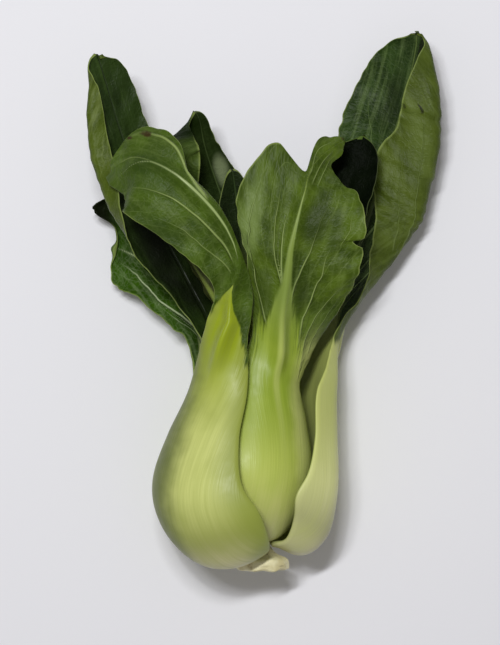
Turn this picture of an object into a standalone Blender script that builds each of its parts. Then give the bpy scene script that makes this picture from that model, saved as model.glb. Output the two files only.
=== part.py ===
"""A head of bok choy, cut from its root and lying on its back.

Every leaf is one solid: a thick pale stalk that clasps the stem, running out into a thin dark blade.
The leaves stand in three rings round a short stem. In the rings each stalk is an arc round the head's
own axis, so nested stalks stay clear of each other. Past the neck each blade follows its own midrib.

Sizes are in millimetres until a mesh is written. +X is the viewer's right, +Y runs from the cut stem to
the leaf tips, +Z is up, and the origin is the flat spot that the bulb rests on.
"""

import math
from dataclasses import dataclass, field

import bpy
import numpy as np

MM = 0.001

# The head as a whole
STEM_RADIUS = 9.6
RING_FLAT = 0.9
REST_LEVEL = 0.0

# The head's own axis, from the cut stem to the neck: height along Y, then the axis's X and Z there
AXIS_Y = (-30.0, -20.0, -4.0, 15.0, 33.0, 55.0, 80.0)
AXIS_X = (5.0, 2.5, -2.0, -2.0, 0.5, 3.5, 5.0)
AXIS_Z = (27.0, 28.0, 28.5, 28.0, 27.0, 27.0, 28.0)

# A stalk's path in its ring: the distance from the axis, and the place along Y
RINGS = {
    "outer": ((8.5, -20.0), (17.0, -24.8), (25.5, -22.3), (30.5, -12.5), (31.0, 1.0), (27.5, 20.0), (23.5, 38.0)),
    "inner": ((5.8, -16.0), (12.0, -18.0), (18.3, -14.0), (22.0, -4.0), (21.5, 8.0), (18.0, 24.0), (15.0, 40.0)),
    "heart": ((3.9, -12.5), (7.0, -12.0), (10.5, -7.5), (12.5, 1.0), (12.0, 12.0), (9.5, 26.0), (7.8, 40.0)),
}
# Thickness at the middle of a stalk and at its margins, at the same places
STALK_THICK = {
    "outer": (3.0, 5.0, 6.6, 7.4, 7.2, 6.4, 5.4),
    "inner": (2.4, 4.4, 6.0, 6.8, 6.6, 5.8, 4.8),
    "heart": (1.8, 2.8, 4.2, 5.0, 4.8, 4.0, 3.2),
}
STALK_EDGE = (1.6, 1.8, 2.0, 2.0, 1.8, 1.5, 1.2)
# How far a stalk's margins reach up past its middle, at the same places
STALK_SWEEP = {
    "outer": (0.5, 5.0, 8.0, 7.0, 4.0, 1.0, 0.0),
    "inner": (0.5, 3.5, 5.5, 5.0, 3.0, 1.0, 0.0),
    "heart": (0.5, 2.0, 3.0, 3.0, 2.0, 1.0, 0.0),
}

BLADE_THICK = 0.8
# The blade's first two stations keep these shares of the stalk's thickness, so the stalk thins out gently
NECK_SHARES = (0.62, 0.3)
# The midrib's ridge on the outer face falls off over this distance
RIB_WIDTH = 2.6
# The sharpness of a folded margin: the share of a half's width that the fold takes
FOLD_WIDTH = 0.32
# A margin's ripple grows to its full height where the half is this wide
FULL_RIPPLE_WIDTH = 12.0
# Columns across each half of a leaf, from the midrib to the margin
ACROSS = (0.0, 0.09, 0.24, 0.44, 0.66, 0.86, 1.0)
LEAF_ROWS = 27


@dataclass
class Bend:
    """One station along a blade's midrib.

    at is the midrib's place. looks is the direction of the leaf's outer face, in degrees from +X
    towards +Z. plus and minus are the two halves: the width across, how far the half sweeps forward
    at its margin, and its turn from the midrib to the margin, in degrees towards the inner face.
    """

    at: tuple
    looks: float
    plus: tuple
    minus: tuple
    rib: float = 2.0


@dataclass
class Leaf:
    """A leaf: its stalk's place in a ring, and the stations of its blade."""

    name: str
    ring: str
    centre: tuple
    span: tuple
    blade: list
    size: float = 1.0
    wave: float = 0.8
    waves: float = 7.0
    phase: float = 0.0
    rise: tuple = (0.0,) * 7
    spread: tuple = (0.0,) * 7
    rows: int = LEAF_ROWS
    fold: tuple = (None, None)
    hue: tuple = field(default=(0.10, 0.22, 0.045))


LEAVES = [
    Leaf(
        name="leaf_front_left",
        ring="outer",
        centre=(133, 133, 134, 135, 135, 131, 126),
        span=(54, 53, 51, 50, 43, 36, 31),
        blade=[
            Bend((-9, 55, 47.5), 108, (9.5, 0, 20), (8.5, 0, 18), 4.0),
            Bend((-4.5, 70, 50), 98, (8.5, -2, -20), (5.5, 0, 10), 3.2),
            Bend((-5.5, 83, 54), 95, (10, -4, -12), (3.5, 2, 10), 2.6),
            Bend((-13, 97, 58), 93, (15, -3, 5), (4, 3, 12), 2.3),
            Bend((-23, 108, 60), 92, (18.5, 0, 15), (5.5, 2, 14), 2.0),
            Bend((-33, 116, 58.5), 92, (19.5, 3, 20), (11.5, 1, 18), 1.6),
            Bend((-41, 119.5, 54.5), 98, (17, 4, 22), (11.5, 0, 24), 1.2),
            Bend((-46.5, 119, 50), 108, (12, 6, 22), (5.5, 0, 24), 1.0),
            Bend((-50, 116.5, 46), 118, (4.5, 4, 20), (2, 0, 20), 0.8),
        ],
        size=1.05,
        wave=0.7,
        waves=6.0,
        hue=(0.10, 0.21, 0.035),
    ),
    Leaf(
        name="leaf_right",
        ring="outer",
        centre=(-12, -12, -11, -9, -8, -12, -17),
        span=(52, 53, 53, 53, 50, 47, 50),
        blade=[
            Bend((29, 54, 19), -30, (12, 0, 44), (14, 0, 44), 4.0),
            Bend((34, 68, 13), -46, (17, 2, 50), (15, 0, 34), 3.2),
            Bend((39.5, 84, 7), -58, (32, 3, 120), (17, 0, 25), 2.6),
            Bend((45, 102, 3.4), -64, (45, 4, 166), (19, 0, 25), 2.3),
            Bend((50.5, 120, 6), -66, (44, 4, 174), (20, 0, 25), 2.0),
            Bend((56, 138, 11), -64, (39, 2, 170), (21, 0, 25), 1.6),
            Bend((60, 154, 16), -60, (27, 0, 156), (17.5, 0, 20), 1.2),
            Bend((62, 165, 20), -58, (12, 0, 110), (10, 0, 20), 0.9),
            Bend((62, 170, 22), -58, (4, -1, 30), (4.5, -1, 20), 0.8),
        ],
        size=0.94,
        rise=(0.4, 3.2, 6.2, 6.0, 3.5, 0.0, 0.0),
        spread=(0.0, 0.0, -0.8, -0.5, 1.2, 3.6, 5.0),
        wave=0.7,
        waves=6.0,
        phase=1.2,
        rows=29,
        fold=(0.55, None),
        hue=(0.07, 0.17, 0.04),
    ),
    Leaf(
        name="leaf_back_left",
        ring="outer",
        centre=(243, 244, 244, 243, 239, 232, 226),
        span=(38, 37, 38, 39, 38, 32, 28),
        blade=[
            Bend((-17.5, 55, 13), 232, (9.5, 0, 25), (9, 0, 25), 4.0),
            Bend((-23, 67, 9), 242, (10, 1, 15), (12, -3, 18), 3.0),
            Bend((-29, 78, 5), 250, (13, 2, 10), (17, -3, 22), 2.6),
            Bend((-35.5, 88, 2.9), 256, (15, 3, 8), (20.5, -3, 24), 2.2),
            Bend((-43.5, 97, 4), 258, (14, 3, 8), (19.5, -4, 24), 1.8),
            Bend((-50.5, 102.5, 7), 254, (8, 2, 30), (5.5, -2, 40), 1.2),
            Bend((-59, 105, 12), 248, (3, 0, 60), (3.5, -1, 60), 0.8),
        ],
        size=0.985,
        wave=0.7,
        waves=5.0,
        phase=0.5,
        hue=(0.055, 0.15, 0.035),
    ),
    Leaf(
        name="leaf_front",
        ring="inner",
        centre=(72, 68, 63, 60, 58, 59, 66),
        span=(54, 56, 58, 57, 56, 52, 46),
        blade=[
            Bend((10.5, 52, 42), 76, (10.5, 8, 30), (15, 2, 24), 3.6),
            Bend((12, 66, 46), 82, (14, 13, 16), (22, 5, 6), 3.0),
            Bend((13.7, 79, 50), 86, (19.5, 15, 8), (25, 4, 0), 2.6),
            Bend((15.4, 90, 52), 88, (23, 15, 4), (25, 3, -4), 2.3),
            Bend((17.6, 100, 53), 90, (20, 16, 0), (23.5, 4, -4), 2.0),
            Bend((19.6, 108, 53), 90, (13.5, 15.5, 2), (20, 3, 0), 1.7),
            Bend((21.5, 114.5, 52), 88, (2.0, 0.5, 6), (14, 2, 6), 1.4),
            Bend((25.5, 121, 50), 84, (5.2, 5.5, 14), (6.5, -1, 14), 1.1),
            Bend((31, 125.8, 46), 80, (3.6, 1, 20), (3.5, 0, 20), 0.9),
            Bend((33.6, 127.6, 44), 80, (1.2, 0, 20), (1.3, 0, 20), 0.8),
        ],
        rise=(0.5, 2.5, 5.0, 4.5, 2.5, 0.0, 0.0),
        spread=(0.0, 0.0, -0.3, 0.4, 2.0, 3.0, 2.6),
        wave=0.9,
        waves=8.0,
        phase=2.0,
        rows=34,
        hue=(0.12, 0.24, 0.05),
    ),
    Leaf(
        name="leaf_back",
        ring="inner",
        centre=(288, 288, 288, 288, 288, 286, 282),
        span=(52, 54, 56, 56, 50, 44, 38),
        blade=[
            Bend((5, 56, 11), 278, (12, 0, 20), (12, 0, 20), 3.6),
            Bend((1, 72, 8), 275, (15, 1, 14), (15, 0, 14), 3.0),
            Bend((-4, 88, 7), 272, (14, 1, 12), (12, 0, 12), 2.6),
            Bend((-8.5, 103, 12), 268, (11, 2, 14), (12, 0, 20), 2.2),
            Bend((-13.5, 117, 17), 262, (7.5, 2, 20), (24, 0, 110), 1.8),
            Bend((-17, 128, 23), 258, (4.5, 1, 30), (45, 4, 170), 1.4),
            Bend((-18.5, 136, 28), 258, (3, 0, 30), (18, 0, 130), 1.0),
            Bend((-20, 139.5, 30), 258, (1.5, 0, 20), (3, 0, 30), 0.8),
        ],
        rise=(0.5, 3.0, 5.0, 4.0, 2.0, 0.0, 0.0),
        wave=1.0,
        waves=7.0,
        phase=0.9,
        fold=(None, 0.55),
        hue=(0.06, 0.15, 0.04),
    ),
    Leaf(
        name="leaf_left",
        ring="inner",
        centre=(178, 178, 178, 178, 181, 185, 190),
        span=(43, 43, 43, 43, 40, 34, 28),
        blade=[
            Bend((-15, 58, 25), 212, (9, 0, 28), (9, 0, 28), 3.4),
            Bend((-23, 76, 24), 226, (11, 1, 22), (12, 0, 22), 2.8),
            Bend((-32, 94, 24), 236, (13, 2, 16), (19, 0, 50), 2.4),
            Bend((-41, 112, 25), 240, (12.5, 2, 14), (25, 0, 120), 2.0),
            Bend((-47, 130, 28), 242, (11, 2, 14), (25, 0, 165), 1.7),
            Bend((-52, 147, 32), 242, (9.8, 2, 14), (16, 0, 160), 1.3),
            Bend((-54.5, 155.5, 34.5), 242, (7.3, 0, 14), (8, 0, 80), 1.0),
            Bend((-56, 160, 36), 242, (5, -2, 14), (4, 0, 20), 0.8),
        ],
        rise=(0.5, 2.0, 2.0, 1.0, 0.0, 0.0, 0.0),
        wave=0.4,
        waves=5.0,
        phase=2.6,
        fold=(None, 0.68),
        hue=(0.07, 0.17, 0.035),
    ),
    Leaf(
        name="leaf_inner_right",
        ring="heart",
        centre=(0, 0, 0, 0, -2, -6, -12),
        span=(52, 52, 52, 50, 46, 42, 38),
        blade=[
            Bend((14, 56, 28), -20, (7, 0, 34), (7, 0, 34), 2.8),
            Bend((20, 72, 29), -40, (9, 1, 26), (9, 0, 26), 2.4),
            Bend((27, 88, 30), -58, (11, 2, 20), (12, 0, 20), 2.0),
            Bend((33, 104, 30.5), -68, (11, 2, 18), (13, 0, 18), 1.7),
            Bend((38.5, 119, 31), -74, (9, 1, 18), (11, 0, 18), 1.3),
            Bend((42, 131, 31), -78, (4.5, -1, 18), (6, -2, 18), 0.8),
        ],
        rise=(0.5, 2.2, 3.8, 3.0, 1.5, 0.0, 0.0),
        wave=0.5,
        waves=5.0,
        phase=1.7,
        rows=24,
        hue=(0.05, 0.12, 0.03),
    ),
    Leaf(
        name="leaf_heart_left",
        ring="heart",
        centre=(120, 120, 120, 121, 124, 128, 134),
        span=(50, 50, 50, 48, 42, 36, 30),
        blade=[
            Bend((-4, 54, 36), 138, (5.5, 0, 30), (5.5, 0, 30), 2.4),
            Bend((-9, 66, 37), 142, (6.5, 0, 30), (6.5, 0, 30), 2.0),
            Bend((-16, 78, 36), 146, (6.5, 0, 34), (6.5, 0, 34), 1.5),
            Bend((-23, 88, 33), 150, (2.0, 0, 30), (2.5, 0, 30), 0.8),
        ],
        rise=(0.5, 2.2, 3.8, 3.0, 1.5, 0.0, 0.0),
        wave=0.5,
        waves=4.0,
        rows=20,
        hue=(0.13, 0.22, 0.04),
    ),
    Leaf(
        name="leaf_heart_back",
        ring="heart",
        centre=(240, 240, 240, 240, 240, 240, 242),
        span=(48, 48, 48, 46, 42, 38, 34),
        blade=[
            Bend((1, 56, 22), 248, (6.5, 0, 28), (6.5, 0, 28), 2.4),
            Bend((-1, 74, 22), 254, (8.5, 0, 24), (8.5, 0, 24), 2.0),
            Bend((-3, 92, 24), 258, (9.0, 0, 22), (9.0, 0, 22), 1.7),
            Bend((-5, 107, 28), 262, (7.0, 0, 24), (7.0, 0, 24), 1.3),
            Bend((-6.5, 118, 32), 264, (2.0, 0, 24), (2.5, 0, 24), 0.8),
        ],
        rise=(0.5, 2.2, 3.8, 3.0, 1.5, 0.0, 0.0),
        wave=0.6,
        waves=5.0,
        phase=0.3,
        rows=22,
        hue=(0.06, 0.14, 0.035),
    ),
]


def through(values, t):
    """A smooth curve through one value for each whole number of t (Catmull-Rom)."""
    values = np.asarray(values, float)
    last = len(values) - 1
    slopes = np.gradient(values, axis=0)
    i = np.clip(np.floor(t).astype(int), 0, last - 1)
    f = np.clip(t - i, 0.0, 1.0)
    if values.ndim > 1:
        f = f[:, None]
    a, b, da, db = values[i], values[i + 1], slopes[i], slopes[i + 1]
    return (
        a * (2 * f**3 - 3 * f**2 + 1)
        + da * (f**3 - 2 * f**2 + f)
        + b * (3 * f**2 - 2 * f**3)
        + db * (f**3 - f**2)
    )


def smooth(x):
    """A step from 0 to 1 with soft ends."""
    x = np.clip(x, 0.0, 1.0)
    return x * x * (3 - 2 * x)


def axis_at(y):
    """The head's axis at a height: its X and Z."""
    return np.interp(y, AXIS_Y, AXIS_X), np.interp(y, AXIS_Y, AXIS_Z)


def stations_of(leaf):
    """Every station of a leaf, stalk and blade, as one row of numbers each.

    A row holds the place (3), looks, plus (3), minus (3), the thickness at the middle and at the
    margin, the rib's height, and 1 on the blade or 0 on the stalk.
    """
    rows = []
    path = RINGS[leaf.ring]
    for k, (radius, y) in enumerate(path):
        radius = radius * leaf.size + leaf.spread[k]
        y += leaf.rise[k]
        ax, az = axis_at(y)
        looks = math.radians(leaf.centre[k])
        at = (ax + radius * math.cos(looks), y, az + RING_FLAT * radius * math.sin(looks))
        half = (radius * math.radians(leaf.span[k]), STALK_SWEEP[leaf.ring][k], leaf.span[k])
        thick = STALK_THICK[leaf.ring][k]
        rows.append((*at, leaf.centre[k], *half, *half, thick, STALK_EDGE[k], 0.0, 0.0))
    # the blade's facing continues from the stalk's without jumping a full turn
    turn = 360.0 * round((leaf.centre[-1] - leaf.blade[0].looks) / 360.0)
    for k, b in enumerate(leaf.blade):
        thick = BLADE_THICK
        if k < len(NECK_SHARES):
            thick = max(BLADE_THICK, STALK_THICK[leaf.ring][-1] * NECK_SHARES[k])
        rows.append((*b.at, b.looks + turn, *b.plus, *b.minus, thick, BLADE_THICK, b.rib, 1.0))
    return np.array(rows)


def evenly_spaced(stations, count):
    """Values of the station number that are evenly spaced along the midrib."""
    fine = np.linspace(0, len(stations) - 1, 400)
    points = through(stations[:, :3], fine)
    run = np.concatenate([[0], np.cumsum(np.linalg.norm(np.diff(points, axis=0), axis=1))])
    return np.interp(np.linspace(0, run[-1], count), run, fine)


def half_profile(width, turn, fold, a):
    """The cross-section of one half: how far across and how far inwards at each share a of its width.

    The half turns evenly, or round a fold where fold gives the share of the width that it lies at.
    """
    fine = np.linspace(0, 1, 61)
    share = fine
    if fold is not None:
        share = 0.15 * fine + 0.85 * smooth((fine - fold) / FOLD_WIDTH + 0.5)
    angle = np.radians(turn)[:, None] * share[None, :]
    step = width[:, None] / (len(fine) - 1)
    sideways, inwards = np.cos(angle) * step, np.sin(angle) * step
    found = []
    for slices in (sideways, inwards):
        sums = np.cumsum((slices[:, 1:] + slices[:, :-1]) / 2, axis=1)
        sums = np.concatenate([np.zeros((len(sums), 1)), sums], axis=1)
        found.append(np.array([np.interp(a, fine, row) for row in sums]))
    return found


def leaf_sheet(leaf, rows, shares):
    """The leaf's middle surface, its normals towards the outer face, and its two thicknesses.

    Returns arrays of rows by columns. Columns run from the minus margin to the plus margin.
    """
    stations = stations_of(leaf)
    t = evenly_spaced(stations, rows)
    s = through(stations, t)
    place, on_blade = s[:, :3], np.clip(s[:, 13], 0, 1)
    tangent = np.gradient(place, axis=0)
    tangent /= np.linalg.norm(tangent, axis=1)[:, None]
    # sections stand square to the head's axis on the stalk, and square to the midrib on the blade
    forward = np.clip((t - 5.0) / 2.5, 0, 1)[:, None]
    along = forward * tangent + (1 - forward) * np.array([0.0, 1.0, 0.0])
    along /= np.linalg.norm(along, axis=1)[:, None]
    looks = np.radians(s[:, 3])
    out = np.stack([np.cos(looks), np.zeros(rows), np.sin(looks)], axis=1)
    out -= (out * along).sum(1)[:, None] * along
    out /= np.linalg.norm(out, axis=1)[:, None]
    side = np.cross(out, along)

    a = np.asarray(shares)
    sheets = []
    for sign, cols, fold in ((-1, (7, 8, 9), leaf.fold[1]), (1, (4, 5, 6), leaf.fold[0])):
        width, sweep, turn = (s[:, c] for c in cols)
        across, inward = half_profile(np.maximum(width, 0.6), turn, fold, a)
        half = (
            place[:, None]
            + sign * across[:, :, None] * side[:, None]
            - inward[:, :, None] * out[:, None]
            + (sweep[:, None] * a**2)[:, :, None] * along[:, None]
        )
        turns = leaf.waves * 2 * math.pi * np.linspace(0, 1, rows)
        ripple = leaf.wave * np.sin(turns + leaf.phase * (1 + sign))
        reach = np.clip(width / FULL_RIPPLE_WIDTH, 0, 1) * on_blade
        lift = ripple[:, None] * (a**2.5) * reach[:, None]
        half += lift[:, :, None] * out[:, None]
        sheets.append(half)
    middle = np.concatenate([sheets[0][:, :0:-1], sheets[1]], axis=1)

    down = np.gradient(middle, axis=0)
    over = np.gradient(middle, axis=1)
    normal = np.cross(down, over)
    normal /= np.maximum(np.linalg.norm(normal, axis=2)[:, :, None], 1e-9)

    b = np.concatenate([-a[:0:-1], a])
    thick = s[:, 11][:, None] + (s[:, 10] - s[:, 11])[:, None] * (1 - b[None, :] ** 2)
    width = np.where(b[None, :] < 0, s[:, 7][:, None], s[:, 4][:, None])
    ridge = s[:, 12][:, None] * np.exp(-((b[None, :] * width / RIB_WIDTH) ** 2))
    outer = np.maximum(thick, BLADE_THICK) / 2 + ridge
    inner = np.maximum(thick, BLADE_THICK) / 2
    return middle, normal, outer, inner


def shell(inner, outer):
    """Vertices and triangles of the closed solid between two grids. Both faces are cut the same way."""
    rows, cols = inner.shape[:2]
    count = rows * cols
    number = np.arange(count).reshape(rows, cols)
    a, b, c, d = number[:-1, :-1], number[:-1, 1:], number[1:, 1:], number[1:, :-1]
    top = np.concatenate([np.stack([a, b, c], -1).reshape(-1, 3), np.stack([a, c, d], -1).reshape(-1, 3)])
    under = top[:, ::-1] + count
    rim = np.concatenate([number[0, :], number[1:, -1], number[-1, -2::-1], number[-2:0:-1, 0]])
    nxt = np.roll(rim, -1)
    walls = np.concatenate(
        [np.stack([rim, rim + count, nxt], -1), np.stack([nxt, rim + count, nxt + count], -1)]
    )
    return np.concatenate([inner.reshape(-1, 3), outer.reshape(-1, 3)]), np.concatenate([top, under, walls])


def green(name, colour, roughness):
    """A Principled material."""
    material = bpy.data.materials.new(name)
    material.use_nodes = True
    shader = material.node_tree.nodes["Principled BSDF"]
    shader.inputs["Base Color"].default_value = (*colour, 1.0)
    shader.inputs["Roughness"].default_value = roughness
    shader.inputs["Metallic"].default_value = 0.0
    return material


def add_object(name, points, triangles, material):
    """A named object from points in millimetres."""
    mesh = bpy.data.meshes.new(name)
    mesh.from_pydata((points * MM).tolist(), [], triangles.tolist())
    mesh.materials.append(material)
    mesh.validate()
    mesh.shade_smooth()
    mesh.set_sharp_from_angle(angle=math.radians(50))
    made = bpy.data.objects.new(name, mesh)
    bpy.context.scene.collection.objects.link(made)
    return made


def add_leaf(leaf):
    """One leaf as a solid of its own."""
    middle, normal, outer, inner = leaf_sheet(leaf, leaf.rows, ACROSS)
    front = middle + normal * outer[:, :, None]
    back = middle - normal * inner[:, :, None]
    points, triangles = shell(back, front)
    points[:, 2] = np.maximum(points[:, 2], REST_LEVEL)
    return add_object(leaf.name, points, triangles, green(leaf.name, leaf.hue, 0.5))


def add_stem():
    """The short stem that the stalks grow from, cut across at its foot."""
    # radius as a share of the foot's, and the place along Y
    profile = ((0.9, -29.0), (1.0, -28.3), (1.0, -25.0), (0.62, -22.8), (0.4, -18.0), (0.22, -13.0), (0.05, -8.0))
    sides = 20
    turns = np.linspace(0, 2 * math.pi, sides, endpoint=False)
    rings = []
    for share, y in profile:
        ax, az = axis_at(y)
        radius = STEM_RADIUS * share * (1 + 0.05 * np.sin(3 * turns))
        rings.append(np.stack([ax + radius * np.cos(turns), np.full(sides, y), az + radius * np.sin(turns)], 1))
    number = np.arange(len(rings) * sides).reshape(len(rings), sides)
    nxt = np.roll(number, -1, axis=1)
    a, b, c, d = number[:-1], nxt[:-1], nxt[1:], number[1:]
    skin = np.concatenate([np.stack([a, c, b], -1).reshape(-1, 3), np.stack([a, d, c], -1).reshape(-1, 3)])
    foot, tip = len(rings) * sides, len(rings) * sides + 1
    caps = [(foot, number[0, k], nxt[0, k]) for k in range(sides)]
    caps += [(tip, nxt[-1, k], number[-1, k]) for k in range(sides)]
    points = np.concatenate([*rings, rings[0].mean(0)[None], rings[-1].mean(0)[None]])
    material = green("stem_base", (0.5, 0.5, 0.3), 0.6)
    return add_object("stem_base", points, np.concatenate([skin, np.array(caps)]), material)


def main():
    """Clears the scene and builds the head."""
    for old in list(bpy.data.objects):
        bpy.data.objects.remove(old)
    add_stem()
    for leaf in LEAVES:
        add_leaf(leaf)


main()
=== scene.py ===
"""The looks of a head of bok choy that lies on its back on a pale table.

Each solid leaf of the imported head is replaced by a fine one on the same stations: a waxy stalk that runs
out into a blade with veins, quilting, waved margins and its own green on each face. Stations are in
millimetres, as the head's maker measured them, and meshes are written in metres.
"""

import logging
import math
from dataclasses import dataclass
from enum import Enum
from typing import Any, Optional

import bpy
import numpy as np
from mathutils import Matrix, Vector


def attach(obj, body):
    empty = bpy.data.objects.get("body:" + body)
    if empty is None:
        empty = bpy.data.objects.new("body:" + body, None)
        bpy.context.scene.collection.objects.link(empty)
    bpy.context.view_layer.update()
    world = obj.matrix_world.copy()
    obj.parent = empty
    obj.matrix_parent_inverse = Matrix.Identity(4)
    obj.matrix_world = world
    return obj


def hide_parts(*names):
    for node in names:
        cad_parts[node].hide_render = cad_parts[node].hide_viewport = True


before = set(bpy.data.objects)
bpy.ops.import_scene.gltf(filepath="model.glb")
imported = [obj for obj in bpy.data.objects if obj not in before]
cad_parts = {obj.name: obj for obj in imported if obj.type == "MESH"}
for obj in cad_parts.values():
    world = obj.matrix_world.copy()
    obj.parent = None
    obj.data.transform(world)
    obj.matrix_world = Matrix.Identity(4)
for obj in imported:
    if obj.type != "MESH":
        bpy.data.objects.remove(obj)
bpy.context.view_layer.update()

LOG = logging.getLogger("bok_choy")
MM = 0.001

Pair = tuple[float, float]
Triple = tuple[float, float, float]
Array = np.ndarray
Socket = Any


class RingName(Enum):
    """The three rings that the stalks stand in round the stem."""

    OUTER = "outer"
    INNER = "inner"
    HEART = "heart"


class Half(Enum):
    """The two halves of a leaf on either side of its midrib."""

    MINUS = -1
    PLUS = 1


class Face(Enum):
    """The two faces of a leaf: OUTER looks away from the head's heart, INNER looks at it."""

    OUTER = 0.0
    INNER = 1.0


@dataclass(frozen=True)
class Tint:
    """A colour as a screen shows it, each part from 0 to 255."""

    red: float
    green: float
    blue: float

    def linear(self) -> tuple[float, float, float, float]:
        """The colour as a shader socket takes it."""
        parts = np.array([self.red, self.green, self.blue]) / 255
        light = np.where(parts <= 0.04045, parts / 12.92, ((parts + 0.055) / 1.055) ** 2.4)
        return (*light.tolist(), 1.0)


@dataclass(frozen=True)
class Ring:
    """The stalks' path in one ring, from the stem to the neck.

    path holds the distance from the head's axis and the place along Y. thick is the thickness at a
    stalk's middle, and sweep how far its margins reach up past its middle, at the same places.
    """

    path: tuple[Pair, ...]
    thick: tuple[float, ...]
    sweep: tuple[float, ...]


@dataclass(frozen=True)
class HeadAxis:
    """The line that the head grows round: its X and Z at heights along Y."""

    y: tuple[float, ...] = (-30.0, -20.0, -4.0, 15.0, 33.0, 55.0, 80.0)
    x: tuple[float, ...] = (5.0, 2.5, -2.0, -2.0, 0.5, 3.5, 5.0)
    z: tuple[float, ...] = (27.0, 28.0, 28.5, 28.0, 27.0, 27.0, 28.0)
    flatness: float = 0.9

    def at(self, y: float) -> Pair:
        """The axis's X and Z at a height."""
        return float(np.interp(y, self.y, self.x)), float(np.interp(y, self.y, self.z))


AXIS = HeadAxis()
STALK_EDGE = (1.6, 1.8, 2.0, 2.0, 1.8, 1.5, 1.2)
NO_SHIFT = (0.0,) * 7
HEART_RISE = (0.5, 2.2, 3.8, 3.0, 1.5, 0.0, 0.0)
RINGS = {
    RingName.OUTER: Ring(
        path=(
            (8.5, -20.0), (17.0, -24.8), (25.5, -22.3), (30.5, -12.5),
            (31.0, 1.0), (27.5, 20.0), (23.5, 38.0),
        ),
        thick=(3.0, 5.0, 6.6, 7.4, 7.2, 6.4, 5.4),
        sweep=(0.5, 5.0, 8.0, 7.0, 4.0, 1.0, 0.0),
    ),
    RingName.INNER: Ring(
        path=(
            (5.8, -16.0), (12.0, -18.0), (18.3, -14.0), (22.0, -4.0),
            (21.5, 8.0), (18.0, 24.0), (15.0, 40.0),
        ),
        thick=(2.4, 4.4, 6.0, 6.8, 6.6, 5.8, 4.8),
        sweep=(0.5, 3.5, 5.5, 5.0, 3.0, 1.0, 0.0),
    ),
    RingName.HEART: Ring(
        path=(
            (3.9, -12.5), (7.0, -12.0), (10.5, -7.5), (12.5, 1.0),
            (12.0, 12.0), (9.5, 26.0), (7.8, 40.0),
        ),
        thick=(1.8, 2.8, 4.2, 5.0, 4.8, 4.0, 3.2),
        sweep=(0.5, 2.0, 3.0, 3.0, 2.0, 1.0, 0.0),
    ),
}


# The columns of a row of Leaf.stations.
PLACE, LOOKS, PLUS, MINUS = slice(0, 3), 3, slice(4, 7), slice(7, 10)
THICK, EDGE, RIB, ON_BLADE = range(10, 14)
# How finely a leaf's centre line and its cross-sections are measured, and how far out the latter are.
FINE_PLACES = 600
PROFILE_PLACES = 169
WIDEST_SHARE = 1.4


def through(values: Any, t: Array) -> Array:
    """A smooth curve through one value for each whole number of t.

    Args:
        values: One value, or one row of values, for each whole number from 0.
        t: The places to read the curve at.

    Returns:
        The values there.
    """
    values = np.asarray(values, float)
    last = len(values) - 1
    slopes = np.gradient(values, axis=0)
    i = np.clip(np.floor(t).astype(int), 0, last - 1)
    f = np.clip(t - i, 0.0, 1.0)
    if values.ndim > 1:
        f = f[:, None]
    start, end, start_slope, end_slope = values[i], values[i + 1], slopes[i], slopes[i + 1]
    return (
        start * (2 * f**3 - 3 * f**2 + 1)
        + start_slope * (f**3 - 2 * f**2 + f)
        + end * (3 * f**2 - 2 * f**3)
        + end_slope * (f**3 - f**2)
    )


def soft_step(x: Array) -> Array:
    """A step from 0 to 1 with soft ends."""
    x = np.clip(x, 0.0, 1.0)
    return x * x * (3 - 2 * x)


def between(x: Array, low: float, high: float) -> Array:
    """A soft step from 0 at low to 1 at high."""
    return soft_step((x - low) / (high - low))


def unit(vectors: Array) -> Array:
    """The same vectors, one unit long."""
    return vectors / np.maximum(np.linalg.norm(vectors, axis=-1, keepdims=True), 1e-9)


def swell(x: Array, y: Array, wavelength: float, seed: int) -> Array:
    """Smooth uneven bumps over a surface, from -1 to 1 or so.

    Args:
        x: Distances across the surface in millimetres.
        y: Distances along it.
        wavelength: The usual distance from bump to bump.
        seed: Which set of bumps.

    Returns:
        The height of the bumps at each place.
    """
    draw = np.random.default_rng(seed)
    waves = 7
    total = np.zeros(np.broadcast(x, y).shape)
    for heading, start, stretch in zip(
        draw.uniform(0, math.pi, waves), draw.uniform(0, 2 * math.pi, waves), draw.uniform(0.7, 1.5, waves)
    ):
        pace = 2 * math.pi / (wavelength * stretch)
        total = total + np.sin(pace * (x * math.cos(heading) + y * math.sin(heading)) + start)
    return total / math.sqrt(waves)


def add_object(name: str, data: bpy.types.ID) -> bpy.types.Object:
    """A new object in the scene.

    Args:
        name: The object's name.
        data: The mesh, the light or the camera that it shows.

    Returns:
        The object.
    """
    made = bpy.data.objects.new(name, data)
    bpy.context.scene.collection.objects.link(made)
    return made


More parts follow.
